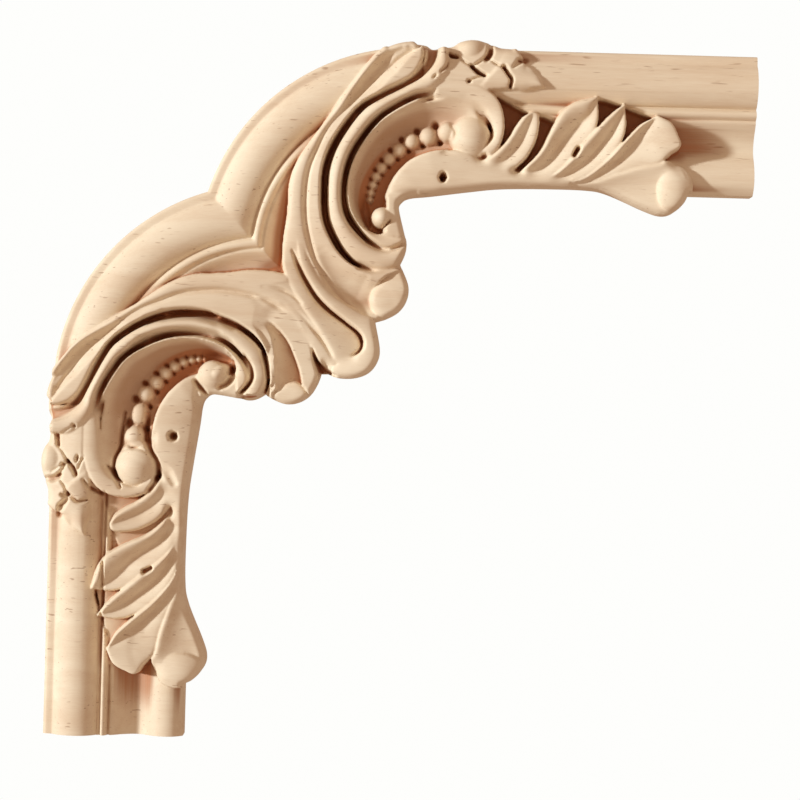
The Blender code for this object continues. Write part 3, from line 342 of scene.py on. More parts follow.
def beads():
    # the distance of each bead along the bead line, and its radius; they shrink as they run into the hollow
    _, run = measured(curve(beadLine, 40))
    at, radius = 0.0, firstBead
    while at < run[-1]:
        yield at, radius
        at += radius * (1 + beadShrink)
        radius *= beadShrink


def scroll(r):
    # hollow of the C-scroll: its wall falls from the rim to the beads, its floor runs under them
    foot = edge(hollowFootLine, (17.4, 14.2, 11.6, 9.8, 8.8, 8, 7.6, 7.4, 7, 7.4))
    r.band(edge(scrollRimLine[:10], (18.2, 18.6, 18.4, 18, 17.6, 17)), foot,
           bow=(-0.2, -0.9, -1.6, -2.2, -2.2), drop=0, crest=0.5, soften=0.5)
    r.band(foot, edge(((170, 44), (160, 43), (150, 43), (141, 47), (135, 54), (132, 61), (129, 69)),
                      (17, 14, 10.4, 7.4, 5.6, 5.2, 5.2)), bow=(0, -0.4, -0.8, -0.8), drop=0, soften=0.8)
    # stem under the beads, running on behind the leaves
    r.band(edge(stemLine, (13, 17.8, 19.2, 18.4, 16.8, 15.6, 14.6)),
           edge(((139, 66), (143, 64.4), (151, 63), (171, 60), (190, 59), (206, 58.8)), (14.4, 15, 14)),
           bow=1.6, turn=2.0, drop=([1.8, 1.8, 1.8, 1.6, 1.0] + [0] * 6, 0.0), soften=0.8)
    path, run = measured(curve(beadLine, 40))
    for at, radius in beads():
        place = [np.interp(at, run, path[:, n]) for n in (0, 1)]
        seat = spread(beadSeat, at / run[-1])
        r.ball(*place, radius, seat + radius, seat)
    # the bulb, and the band that curls over the hollow's end and holds it
    r.ball(165.5, 36, 8.6, 20.6, 15.4, power=0.9)
    r.band(edge(((146, 14.6), (160, 13.8), (170, 16.2), (176.6, 21.4), (179, 30), (177.6, 38.6),
                 (172, 45.5)), (19.4, 19.4, 19.8, 19.4, 17.2)),
           edge(((146, 21), (156, 20.8), (165, 22.6), (171.6, 27.4), (174, 33.6), (171.8, 39.4),
                 (164, 46.5)), (18.4, 18.2, 18, 17.8, 17)), bow=0.9, turn=1.5,
           drop=([0.1, 0.1, 0.8, 1.6, 1.6, 1.6, 0.6], [0.6, 0.6, 0.9, 1.4, 1.0, 0]), soften=1.0,
           fade=(0.1, 0.05))
    r.sand(((156, 43.6), (162, 44.6), (168, 45.6), (174, 46.6), (184, 49.6), (204, 53)), 3.6, 1.5)
    r.sand(((150, 20.6), (158, 20.6), (165, 22.4), (170, 26)), 2.4, 0.9)


def closing(apart):
    # keeps apart along a groove, and closes it at the groove's far end
    return [apart] * 9 + [apart * 0.6, 0, 0]


def ribbons(r):
    # rim of the C-scroll, curling round its eye
    r.band(edge(secondGrooveLine, (19, 18.6, 18.2, 18, 18), closing(-1.0)),
           edge(scrollRimLine[2:] + ((138, 70), (143, 68)), (18.4, 17.8, 17.2, 17, 16)),
           bow=1.2, turn=1.1, drop=(0.9, [0.7, 0.9, 0.9, 0.9, 0.4, 0, 0]), crest=0.55, fade=(0.08, 0.0))
    # neck beside the eye, then the eye itself
    r.band(edge(((132, 58), (132.4, 63), (132.4, 67), (132.2, 72), (129.6, 76)), (17, 17.4, 17.6, 17.8)),
           edge(((145, 57), (144, 66), (146, 78)), (14.6, 15, 16)), bow=0.6, turn=1.4,
           drop=([0.2, 1.0, 1.2, 1.0, 0.1], 0.0), fade=(0.2, 0.2))
    r.ball(130.7, 69.1, 4.5, 20.2, 12)
    # second ribbon, from its hook at the outer edge round the scroll
    r.band(edge(firstGrooveLine, (19.4, 19.2, 18.6, 18.4, 17.8), closing(-1.2)),
           edge(((155, 0), (156.2, 6), (154.8, 12.5)) + secondGrooveLine, (19.6, 20, 19.6, 19, 17.4),
                [0, 0] + closing(1.1)), bow=1.9, turn=1.4,
           drop=(closing(1.0), [1.2, 0.4, 0.3, 1.6, 1.9, 1.9, 1.9, 1.9, 1.4, 0.4, 0]), crest=0.58)
    # outer ribbon, its inner band, which ends in the lobe
    lobeEnd = ((140.6, 89.4), (144.8, 96), (143.8, 104.6), (139, 110.6), (130, 113))
    r.band(edge(creaseLine, (19.4, 20, 20.4, 20.4, 20.2, 18.6)),
           edge(firstGrooveLine[:-1] + lobeEnd, (19.4, 21.4, 21.6, 20.6, 18.6),
                [4.6, 1.4] + [1.2] * 5 + [0.6, 0, 0, 0]), bow=0.2, turn=1.4,
           drop=(0.9, [1.3] * 6 + [1.1, 0.4, 0, 0, 0]), soften=0.7)
    # outer ribbon, its outer band, from the leaf tip down to the middle leaf
    r.band(edge(leafLine, (18.2, 19.4, 20, 20, 20, 20)),
           edge(((141, -3),) + creaseLine[:-1], (18.2, 19.8, 20.6, 20.6, 19.4)),
           bow=1.0, turn=2.2, drop=(1.9, 1.2), soften=0.7)


def deepCuts(r):
    # folded hollow of the leaf tip, its left wall the steeper one
    r.groove(((140, 2), (135.4, 5.4), (129.4, 10.8), (122.6, 18.4), (115, 28), (107, 38.5)),
             (2.4, 4.6, 4.8, 4.2, 2.6, 1.4), (1.2, 3.0, 2.8, 1.8, 0.6, 0.1))
    r.groove(((137, 1.4), (132, 4.2), (126.6, 10), (120.6, 18), (114, 27)), (1.6, 3, 3, 2.6, 1.2),
             (0.8, 2.8, 2.8, 2, 0.2), power=1.5)
    # crease between the two bands
    r.groove(creaseLine[3:-1], (0.8, 1.3, 1.5, 1.5, 1.6, 1.6, 1.2), (0.1, 0.7, 0.9, 0.8, 0.8, 0.8, 0.3))
    # grooves between the first and second ribbon and between that and the rim
    r.groove(firstGrooveLine[:-1], (3.2, 1.9, 0.9, 1.1, 1.6, 1.6, 1.6, 1.5, 1.4, 1.4, 1.5, 1.2, 0.7),
             (5, 5, 3.4, 3.4, 5, 5.6, 5.6, 5.6, 5.6, 5.4, 4.6, 2, 0.5), power=3)
    r.groove(secondGrooveLine, (0.7, 0.9, 1.1, 1.2, 1.2, 1.1, 1.2, 1.8, 1.9, 1.2, 1.4),
             (0.3, 1.6, 3.8, 5, 5.2, 5.2, 5, 4, 2, 1.4, 3), power=3)
    r.sand(((123, 89.2), (129, 90.6), (135, 90.2), (141, 87.6)), 2.6, 1.1)
    r.sand(((125, 79), (130, 81.4), (134, 82)), 2.2, 0.9)
    # pocket at the scroll's lower end, left of the eye
    r.groove(((123.4, 60), (123.8, 67), (125, 71.6)), (1.4, 2.2, 1.9), (0.5, 2.6, 3))
    # hollow of the lobe and the pad at its right, which rises steeply from its deepest place
    r.groove(((107.6, 84), (112.6, 92), (118.4, 98), (124, 101), (129, 101.6)),
             (3, 6, 8, 9, 8), (0.4, 2.2, 3.8, 5, 4.6))
    r.band(edge(((140, 89.4), (134, 92.2), (130, 95.8), (127.4, 99.4), (126.8, 103.4), (129, 107.6),
                 (134, 112)), (17.4, 18.2, 18.6, 18.4, 17.6)),
           edge(((148, 90), (149, 98), (146, 107), (140, 113), (134, 112)), (17.6, 17.8, 17.6)), bow=1.5,
           turn=2.4, drop=([0, 1.2, 1.9, 1.9, 1.0, 0.2], 0.0), soften=0.8)
    # crescent beside the bulb, and the gap between it and the first bead
    r.groove(((169, 29.2), (172.6, 31.4), (173.9, 34.8), (172.4, 38), (170.6, 39.6)), (0.4, 1.2, 1.1, 0.4),
             (0.4, 3.6, 3.2, 0.4))
    r.groove(((157.2, 30.6), (159.4, 34), (158.6, 38)), (0.5, 0.8, 0.5), (0.6, 2.6, 1.0))


def lowerLobe(r):
    # along the top of the lobe both grooves run out shallow
    r.sand(((45, 111), (52, 110.2), (58, 110.2), (66, 112.4)), 3.4, 1.6)
    r.sand(((36, 121.4), (46, 117.6), (56, 116.8), (66, 118.2)), 3.2, 1.3)
    # the lower lobe's plain end, its deep flute with a steep right wall, and the small pad under that
    r.band(edge(((80, 113), (84.4, 118.6), (86.8, 124), (88.2, 130), (89, 136), (88.6, 141), (92, 147)),
                (19.8, 19.4, 19, 18.4, 18)),
           edge(((92, 104), (98, 111), (101.6, 117), (104, 123), (106.6, 130), (108.4, 137), (105, 144),
                 (98, 148)), (19.8, 19.6, 19.4, 18.8, 18)),
           bow=0.4, turn=1.4, drop=([0, 0.6, 1.2, 1.2, 1.2, 0.6], 0.0), soften=1.2, fade=(0.16, 0.0))
    r.band(edge(((84, 112.4), (87.6, 117), (89.2, 123), (89.8, 130), (90.4, 139)), (19.2, 18.6, 18, 17.4)),
           edge(((86, 111), (90.6, 115), (94.6, 120), (97.4, 126), (99.6, 132), (101, 139)),
                (19.2, 16, 13.8, 13, 13)), bow=-0.8, drop=0, soften=0.6, fade=(0.16, 0.0))
    r.band(edge(((89, 140.6), (91.6, 138.4), (95, 136.4), (98.6, 136), (101.6, 138), (104, 142)),
                (16.6, 17, 17.2, 17)),
           edge(((89, 143), (93, 146), (98, 147), (103, 146)), (16.4, 16.6)),
           bow=0.8, turn=1.6, drop=(1.6, 0.0), soften=0.6)


def middleLeaf(r):
    # the lower ribbon's end, folded down along the middle leaf
    r.band(edge(((84, 98), (94, 104), (99.6, 112), (102.2, 119), (105, 125), (109, 129.6), (114.5, 133.4)),
                (19.4, 20, 19.6, 18)),
           edge(((94, 96), (100, 105.4), (106, 114), (110.4, 121), (114.6, 127), (119, 133.4)),
                (19.8, 19.4, 19, 18)),
           bow=0.5, turn=1.6, drop=([0, 0, 0, 0.4, 1.0, 1.0, 1.0], 0.3), soften=1.2, fade=(0.3, 0.1))
    # a long hollow leaf over the meeting of the two halves
    r.band(edge(((91, 78), (92, 88), (94.6, 97), (99.6, 105.4), (105, 113), (109.6, 119.8), (113.6, 126.4),
                 (118, 134)), (19.8, 20.4, 20.6, 20.4, 18.6)),
           edge(((97, 78), (99, 88), (106, 101), (117.4, 110.4), (124, 116.4), (124.8, 124), (119, 134)),
                (20, 19.2, 17, 16.6, 18.6)), bow=(0, 0.4, 0.6, 0.6, 0), turn=1.8, crest=0.3,
           drop=([0, 0.1, 0.8, 1.1, 0.9, 0], 0.0), soften=1.2, fade=(0.2, 0.0))
    # the rim that wraps round its end
    r.band(edge(((96, 80), (97.6, 88), (104.8, 100.6), (117, 111.2), (123.6, 116.6), (123.8, 122.8),
                 (118.5, 126.8), (112.5, 129.4)), (20.4, 21.2, 21.6, 21, 18.6)),
           edge(((99.8, 80), (103.4, 88.4), (111, 99.4), (122, 106.8), (129.4, 111), (133.2, 120),
                 (132, 128.5), (127.4, 134.5), (119, 137), (111.5, 135.5)), (20.2, 20, 19.6, 19.2, 18.2)),
           bow=1.0, turn=1.7, drop=([0.4, 1.4, 1.4, 1.4, 0.8, 0, 0], 0.8), soften=0.8, fade=(0.16, 0.0))
    r.groove(middleGrooveLine, (0.6, 1.1, 1.3, 1.3, 1.1, 1.1, 1.2, 0.6), (1, 4, 5, 5, 4.4, 4.6, 4.6, 0.8),
             power=3)
    # creases on its left and the dark notch where the lower lobe turns away
    r.groove(((84, 98.4), (90, 99), (95.6, 101.2), (99.6, 104.4)), (0.9, 1.2, 0.9), (0.3, 1.3, 0.4))
    r.groove(((92, 105), (98, 108.2), (104, 114), (109, 120), (112.6, 126)),
             (0.9, 1.2, 1.2, 0.9), (0.2, 0.8, 0.9, 0.3))
    r.groove(((104.4, 122.4), (105.6, 126.6), (107.4, 130.6), (109.6, 134.6)), (0.5, 1.1, 1.7, 2.4),
             (1.2, 7, 9, 9))
    r.groove(((108, 130), (111, 131.6), (114.2, 133)), (1.2, 0.8, 0.5), (5, 4, 2))
    r.sand(((110.6, 128.4), (113.4, 127.6), (117, 127.2), (120, 126.8)), 3.6, 1.6)
    r.sand(((86, 99), (92, 103), (97, 108), (100.6, 113.6), (103, 119)), 3.0, 1.2)


def slide(u, v):
    # how far the lower half's carving lies off the mirror image of the upper half's: across, along
    along = 5.0 * smooth(v, 70, 92) - 2.2 * smooth(u, 55, 85) * smooth(v, 105, 125)
    across = -2.8 * smooth(u, 78, 94) * smooth(v, 95, 120)
    return across, along


def drift(u, v):
    # the lower half's lines lie apart from the slid ones round its lobe: the slide as read at the marks
    across, along = slide(u, v)
    total = 0.02
    across, along = across * total, along * total
    for u0, v0, overAcross, overAlong in lowerMarks:
        weight = np.exp(-((u - u0) ** 2 + (v - v0) ** 2) / (2 * markReach ** 2))
        across = across + weight * overAcross
        along = along + weight * overAlong
        total = total + weight
    return across / total, along / total


def lowerHalf(points):
    p = np.array(points)[:, ::-1]
    return p + np.stack(slide(p[:, 0], p[:, 1]), axis=1)


def rims():
    # the edges of the carving: leaf tips past the outer edge, and the inner edge from arm to arm
    tips = curve(((181, 0), (176.5, -0.3), (172.5, -1.8), (168.5, -3), (164, -3.1), (160, -2.2),
                  (157, -0.4), (153, 0), (149.5, -0.4), (145, -1.5), (140, -1.6), (135.5, -0.8),
                  (tipEnd, 0.7)))
    scrollSide = curve(((253.5, armWidth), (251.6, 60), (248, 63.4), (243.5, 64.3), (237, 62.4),
                        (222, 56.2), (213, 54.6), (195, 54.5), (178, 55.1), (165, 56.7), (150, 58.9),
                        (142, 59.9), (138.6, 61.6), (137.4, 65), (139.8, 75), (140.9, 79), (140.3, 83),
                        (138.4, 87.4)))
    lobe = curve(((138.4, 87.4), (142, 96), (141.6, 101.5), (138.6, 106.2), (133.8, 109.2), (129.1, 110.8)))
    middle = curve(((129.1, 110.8), (131.2, 121.5), (130.3, 127), (127, 131.4), (121.5, 133.7),
                    (115, 133.9), (110.5, 132.4)))
    inner = np.vstack([scrollSide[:-1], lobe[:-1]])
    return tips, inner, middle, lowerHalf(inner), lowerHalf(tips)


def lobeArc():
    # the upper lobe's edge, from the leaf tip down to the valley on the diagonal
    gap = lobeCentre[0] - lobeCentre[1]
    valley = (sum(lobeCentre) - np.sqrt(2 * lobeRadius ** 2 - gap ** 2)) / 2
    start = np.arccos((tipEnd - lobeCentre[0]) / lobeRadius)
    end = np.arccos((valley - lobeCentre[0]) / lobeRadius)
    turn = np.linspace(start, end, 40)
    return np.stack([lobeCentre[0] + lobeRadius * np.cos(turn), lobeCentre[1] - lobeRadius * np.sin(turn)],
                    axis=1)


def pieceOutline():
    tips, inner, middle, innerLow, tipsLow = rims()
    arc = lobeArc()
    upperEnd, lowerEnd = (legLength, armWidth), (armWidth, legLength)
    return np.vstack([[(legLength, 0)], tips, arc[1:], arc[-2:0:-1, ::-1], tipsLow[::-1], [(0, legLength)],
                      [lowerEnd], innerLow, middle[::-1], inner[::-1], [upperEnd]])


def turnOverRims(r):
    # the carving's outer rims turn over towards the wall
    apart = np.full(r.u.shape, rimTurn)
    for path in rims():
        w = r.window(path, rimTurn)
        apart[w] = np.minimum(apart[w], nearest(path[::2], r.u[w], r.v[w])[0])
    x = np.clip(apart / rimTurn, 0, 1)
    r.z -= rimFall * (1 - np.sqrt(1 - (1 - x) ** 2))


def carve(r, steps):
    # the upper half, its slid mirror image below the diagonal, then the middle leaf over both
    for step in steps:
        step(r)
    across, along = drift(r.u, r.v)
    mirrored = r.read(r.z, r.v - along, r.u - across)
    carved = smooth(r.read(r.carved, r.v - along, r.u - across), 0.3, 0.7)
    moulding = mouldingHeight(r.u, r.v)
    r.z = np.where(r.v > r.u, moulding + (mirrored - moulding) * carved, r.z)
    # on the side arm the ground between the leaves lies shallower
    ground = lowerHalf(groundTop + groundFoot[::-1])
    w = r.window(ground, 0)
    r.z[w] = np.where(inside(ground, r.u[w], r.v[w]), np.maximum(r.z[w], sideGround), r.z[w])
    lowerLobe(r)
    middleLeaf(r)
    turnOverRims(r)


def cellsWithin(outline, line):
    # the grid's squares whose middles lie in the piece, with none of them joined by a corner alone
    middle = (line[:-1] + line[1:]) / 2
    kept = inside(outline, *np.meshgrid(middle, middle))
    while True:
        a, b, c, d = kept[:-1, :-1], kept[:-1, 1:], kept[1:, :-1], kept[1:, 1:]
        falling = a & d & ~b & ~c
        rising = b & c & ~a & ~d
        if not (falling.any() or rising.any()):
            return kept
        kept[:-1, 1:] |= falling
        kept[:-1, :-1] |= rising


def rimOrder(kept, width):
    # the grid points round the kept squares, as one closed loop
    padded = np.pad(kept, 1)
    nextPoint = {}
    for j, i in zip(*np.nonzero(padded[1:-1, 1:-1])):
        corner = j * width + i
        if not padded[j, i + 1]:
            nextPoint[corner] = corner + 1
        if not padded[j + 1, i + 2]:
            nextPoint[corner + 1] = corner + 1 + width
        if not padded[j + 2, i + 1]:
            nextPoint[corner + 1 + width] = corner + width
        if not padded[j + 1, i]:
            nextPoint[corner + width] = corner
    loop = [min(nextPoint)]
    while nextPoint[loop[-1]] != loop[0]:
        loop.append(nextPoint[loop[-1]])
    return np.array(loop)


def solidMesh(name, relief, cell):
    # one closed body: the carved face, a straight wall round it and the flat back
    line = np.arange(relief.line[0], relief.line[-1] + cell / 2, cell)
    outline = pieceOutline()
    kept = cellsWithin(outline, line)
    width = len(line)
    rows, columns = np.nonzero(kept)
    corner = rows * width + columns
    squares = np.stack([corner, corner + width, corner + width + 1, corner + 1], axis=1)
    used, squares = np.unique(squares, return_inverse=True)
    squares = squares.reshape(-1, 4)
    u, v = line[used % width], line[used // width]
    # the points round the rim move to the outline's nearest point
    rim = np.searchsorted(used, rimOrder(kept, width))
    closed = np.vstack([outline, outline[:1]])
    _, _, (u[rim], v[rim]) = nearest(np.hstack([closed, closed]), u[rim], v[rim])
    height = relief.read(relief.z, u, v)
    top = np.stack([u - mountAt[0], -height, mountAt[1] - v], axis=1)
    bottom = top[rim] * (1, 0, 1)
    foot = len(top) + np.arange(len(rim))
    walls = np.stack([rim, np.roll(rim, -1), np.roll(foot, -1), foot], axis=1)
    mesh = bpy.data.meshes.new(name)
    points = np.vstack([top, bottom]) * mm
    mesh.from_pydata(points.tolist(), [], squares.tolist() + walls.tolist() + [foot.tolist()])
    mesh.validate()
    return mesh


def mirroredCuts(r):
    # the end lobe's pad swells softly, and the third leaf has a slanted cut
    r.sand(((247.6, 46), (248, 54.4), (248, 63)), 8, 2.4)
    r.groove(((207.2, 42), (208.6, 39.4)), (1.1, 1.2), (6, 7), power=3)
    # the band runs smoothly into the bulb's top, and the bulb into the first bead
    r.sand(((163, 20.6), (166.4, 23), (169, 26), (170.4, 29)), 3.4, 1.5)
    r.sand(((157.2, 31), (158.8, 34), (158.4, 37.6)), 1.5, 0.5)
    r.groove(((131.4, 73.2), (134, 70.4)), (0.6, 0.6), (3.2, 3.2))
    # a dark notch between each bead and the next, on the hollow's side and on the stem's
    _, run = measured(curve(beadLine, 40))
    for asides, wide in (((4.0, 3.2, 2.4, 1.8, 1.5), 0.44), ((-3.6, -2.8, -2.2, -1.6, -1.2), 0.3)):
        beside, along = measured(edge(beadLine, (0,), asides))
        for at, radius in beads():
            share = (at + radius * 0.95) / run[-1] * along[-1]
            place = np.array([np.interp(share, along, beside[:, n]) for n in (0, 1)])
            if at + radius < run[-1]:
                r.groove((place, place + 0.2), (radius * wide, radius * wide), (radius * 1.1, radius * 1.1))


def ownCuts(r):
    # on the side arm the bulb is a ball, the eye a round knob, and some grooves fade into one another
    r.ball(34.8, 172.2, 7.8, 21.2, 15, power=0.6)
    r.ball(64.4, 134.4, 6.2, 19.6, 15.6, power=0.8)
    fades = (
        (((-1, 151), (5, 151.4), (10, 150), (13.4, 146.4)), 3, 1.3),
        (((39, 113), (45, 111)), 3, 0.9),
        (((66, 112.4), (72, 115)), 3, 0.9),
        (((33, 123), (38, 120.6)), 3, 0.8),
        (((65, 118.2), (71, 121)), 3, 0.8),
        (((82.4, 104), (83.4, 108), (83, 113)), 3.5, 1.4),
        (((84.4, 114), (86.6, 120), (88, 128), (88.8, 136)), 1.8, 0.8))
    for line, width, softness in fades:
        r.sand(line, width, softness)
    # cuts of each half's own: (line, half width, depth)
    cuts = (
        # the stems' pin holes
        (((154.7, 51.6), (154.7, 53)), 2.2, 12),
        (((49.4, 158.8), (49.8, 159.2)), 2.9, 10),
        # beside the upper hook
        (((155.8, 5.4), (155, 8.4), (152.6, 10.6)), 0.7, 3.4),
        (((150.9, 11.9), (149.6, 13.2)), 0.7, 2.2),
        # between the upper scales
        (((163.8, 13.8), (164.2, 14)), 1.1, 4),
        (((155.4, 3.4), (159.2, 4.4)), 1.1, 3.6),
        (((172.8, 0.8), (172.2, 2.6), (171, 4.4)), 1.3, 3),
        (((165.2, 7.8), (167.6, 10), (170, 11.2)), 1.2, 3),
        (((178.4, 8.4), (179.8, 10.8), (181, 12.6), (180.6, 15.4)), 1.1, 3),
        (((183.6, 4.6), (186.2, 5.4)), 0.9, 3),
        # between the lower scales
        (((10.1, 155.7), (10.4, 156)), 1.2, 4),
        (((4.5, 159.5), (7.4, 157.6), (9.6, 156.2)), 0.5, 1.2),
        (((5.6, 171.6), (6.2, 171.2)), 1.2, 4),
        (((1.2, 174.6), (5.4, 171.8)), 0.5, 1.2),
        (((11.9, 167.8), (11.5, 170)), 0.9, 3.4),
        (((6, 183.6), (8, 185), (4.8, 188)), 1.4, 3.6),
        (((14.4, 177.4), (17, 180.6), (21.6, 183)), 0.9, 3),
        # down the side arm, on both sides of the moulding's bead
        (((23.2, 182), (23, 208), (22.6, 240), (22.8, 282)), 0.8, 3),
        (((26.2, 252), (26.2, 268), (26.2, 282)), 0.7, 2),
        # the lower lobe's grooves run on down
        (((77.2, 126), (79.8, 130), (80.6, 134.4), (79, 138), (75.4, 141)), 1.2, 6),
        (((84.4, 124.6), (86.2, 130), (87, 135.4), (87, 141)), 1.1, 6),
        # under the lower stem's end
        (((44.6, 170.6), (48, 173.6), (50.6, 178)), 2.4, 1.4),
        # round the lower eye and the lower bulb
        (((57.8, 136.8), (59.8, 139.2), (62, 141.4)), 1.5, 5),
        (((71.6, 131.8), (72.4, 134.6), (70.4, 137.4), (67.8, 138.8)), 1.9, 5),
        (((29.5, 150), (28.6, 158), (28.2, 164), (26.2, 169), (26.4, 174.6), (29.2, 180)), 0.9, 4),
        (((38.6, 150), (38.6, 160), (40.8, 165), (43.6, 170), (43.6, 176), (40.6, 181)), 1.4, 5),
        (((28.6, 165.6), (31, 164.6), (34, 164.2), (37, 164.6), (40, 166)), 0.6, 1.6))
    for line, halfWidth, depth in cuts:
        r.groove(line, (halfWidth * 0.75, halfWidth, halfWidth * 0.75), (depth * 0.7, depth, depth * 0.7))


def deepHollowShading(r):
    # painted shade in the hollows of the two scrolls and the lower lobe's flute: the deeper the browner,
    #     # and less so where beads and rims stand proud
    scrollHollow = np.vstack([curve(scrollRimLine), curve(stemLine[:8])])
    # painted shade: darker the lower the hollow lies
    deep = 0.75 * smooth(r.z, 17.4, 13) + 0.25 * smooth(r.z, 9.5, 6.5)
    deep *= 1 - 0.85 * smooth(r.z - blur(r.z, 2 / r.step), 0.1, 0.7)
    upper = inside(scrollHollow, r.u, r.v)
    across, along = drift(r.u, r.v)
    lower = inside(scrollHollow, r.v - along, r.u - across)
    flute = inside(curve(((87, 112), (94, 118), (100, 130), (100.6, 138), (89, 138), (88.6, 124))), r.u, r.v)
    return blur(np.where(r.v > r.u, lower | flute, upper) * deep,
                onlay["deepHollowShadeSoftness"] / r.step)


def added(name, data):
    thing = bpy.data.objects.new(name, data)
    bpy.context.collection.objects.link(thing)
    return thing


def onlayMesh():
    r = Relief(onlay["gridLow"], onlay["gridHigh"], onlay["gridStep"])
    carve(r, (scaleLeaves, leafSpray, scroll, ribbons, deepCuts, mirroredCuts))
    ownCuts(r)
    r.z = np.maximum(blur(r.z, onlay["toolSoftness"] / r.step), onlay["leastThickness"])
    print("onlay: relief carved")
    body = solidMesh("carvedOnlay", r, onlay["cell"])
    whole = added("carvedOnlay", body)
    body.calc_loop_triangles()
    lighter = whole.modifiers.new("lighter", "DECIMATE")
    lighter.ratio = onlay["triangles"] / len(body.loop_triangles)
    depsgraph = bpy.context.evaluated_depsgraph_get()
    mesh = bpy.data.meshes.new_from_object(whole.evaluated_get(depsgraph))
    whole.modifiers.clear()
    whole.data = mesh
    mesh.shade_smooth()
    mesh.set_sharp_from_angle(angle=math.radians(onlay["sharpFrom"]))
    # how far each point lies below what is round it, for the painted shade in crevices and hollows,
    #     # and less at the very edge
    place = np.empty(len(mesh.vertices) * 3)
    mesh.vertices.foreach_get("co", place)
    place = place.reshape(-1, 3) / mm
    u, v = place[:, 0] + mountAt[0], mountAt[1] - place[:, 2]
    keep = inside(pieceOutline(), r.u, r.v)
    solid = np.where(keep, r.z, np.mean(r.z[keep]))
    within = smooth(r.read(blur(keep * 1.0, onlay["rimFade"] / r.step), u, v), 0.62, 0.97)
    layers = {name: blur(solid, reach / r.step) - solid for name, reach in onlay["hollowReach"].items()}
    # the painted hollow shade is weaker on the lower half's panel, which stays paler
    layers["hollow"] *= 1 - 0.8 * smooth(r.v - r.u, 0, 12) * smooth(r.v, 102, 92)
    layers["deepHollowShade"] = deepHollowShading(r)
    # the deepest places get the painted crevice shade too
    # painted shade: grooves and hollows darken by how deep they lie below what is round them
    layers["creviceShade"] += 2.4 * smooth(layers["deepHollowShade"], 0.8, 1) + 2.2 * smooth(layers["hollow"], 4, 7)
    for name, values in layers.items():
        layer = mesh.attributes.new(name, "FLOAT", "POINT")
        layer.data.foreach_set("value", r.read(values, u, v) * within)
    print("onlay:", len(mesh.polygons), "faces")
    return whole


# what a user would change on the wood
wood = {
    "paleColour": (0.83, 0.72, 0.545, 1.0),
    "darkColour": (0.73, 0.58, 0.41, 1.0),
    "poreColour": (0.30, 0.15, 0.07, 1.0),
    # painted shade: the browns that crevices and hollows darken towards
    "creviceShadeColour": (0.47, 0.19, 0.08, 1.0),
    "hollowColour": (0.46, 0.245, 0.135, 1.0),
    "poreAmount": 0.6,
    "deepHollowShadeAmount": 0.85,
    "creviceFrom": (0.5, 2.4),      # millimetres below what is round it where the painted crevice shade starts, and where it is darkest
    "hollowFrom": (0.9, 3.8),
    "darkest": 0.9,
    "roughness": (0.56, 0.70),
    "fibreBump": 0.00006,           # metres
}


def link(tree, a, b):
    # b is a socket that takes a node's output, or a plain value
    if isinstance(a, bpy.types.NodeSocket):
        tree.links.new(a, b)
    else:
        b.default_value = a


def newNode(tree, kind, at, **settings):
    node = tree.nodes.new(kind)
    node.location = at
    for name, value in settings.items():
        if hasattr(node, name):
            setattr(node, name, value)
        else:
            node.inputs[name].default_value = value
    return node


def mathNode(tree, operation, at, *values):
    node = newNode(tree, "ShaderNodeMath", at, operation=operation)
    for value, socket in zip(values, node.inputs):
        link(tree, value, socket)
    return node.outputs[0]


def blendNode(tree, at, share, a, b):
    node = newNode(tree, "ShaderNodeMix", at, data_type="RGBA")
    for value, socket in ((share, "Factor"), (a, 6), (b, 7)):
        link(tree, value, node.inputs[socket])
    return node.outputs[2]


def rampNode(tree, at, value, low, high, toLow=0.0, toHigh=1.0):
    node = newNode(tree, "ShaderNodeMapRange", at, interpolation_type="SMOOTHSTEP")
    for number, socket in zip((value, low, high, toLow, toHigh), node.inputs):
        link(tree, number, socket)
    return node.outputs["Result"]


def stretchedNoise(tree, at, position, scale, detail, roughness=0.5, distortion=0.0):
    # noise whose grains are longer along X; scale counts grains a metre along each axis
    stretch = newNode(tree, "ShaderNodeVectorMath", at, operation="MULTIPLY")
    stretch.inputs[1].default_value = scale
    link(tree, position, stretch.inputs[0])
    noise = newNode(tree, "ShaderNodeTexNoise", (at[0] + 200, at[1]), Scale=1.0, Detail=detail)
    noise.inputs["Roughness"].default_value = roughness
    noise.inputs["Distortion"].default_value = distortion
    link(tree, stretch.outputs[0], noise.inputs["Vector"])
    return noise.outputs["Fac"]


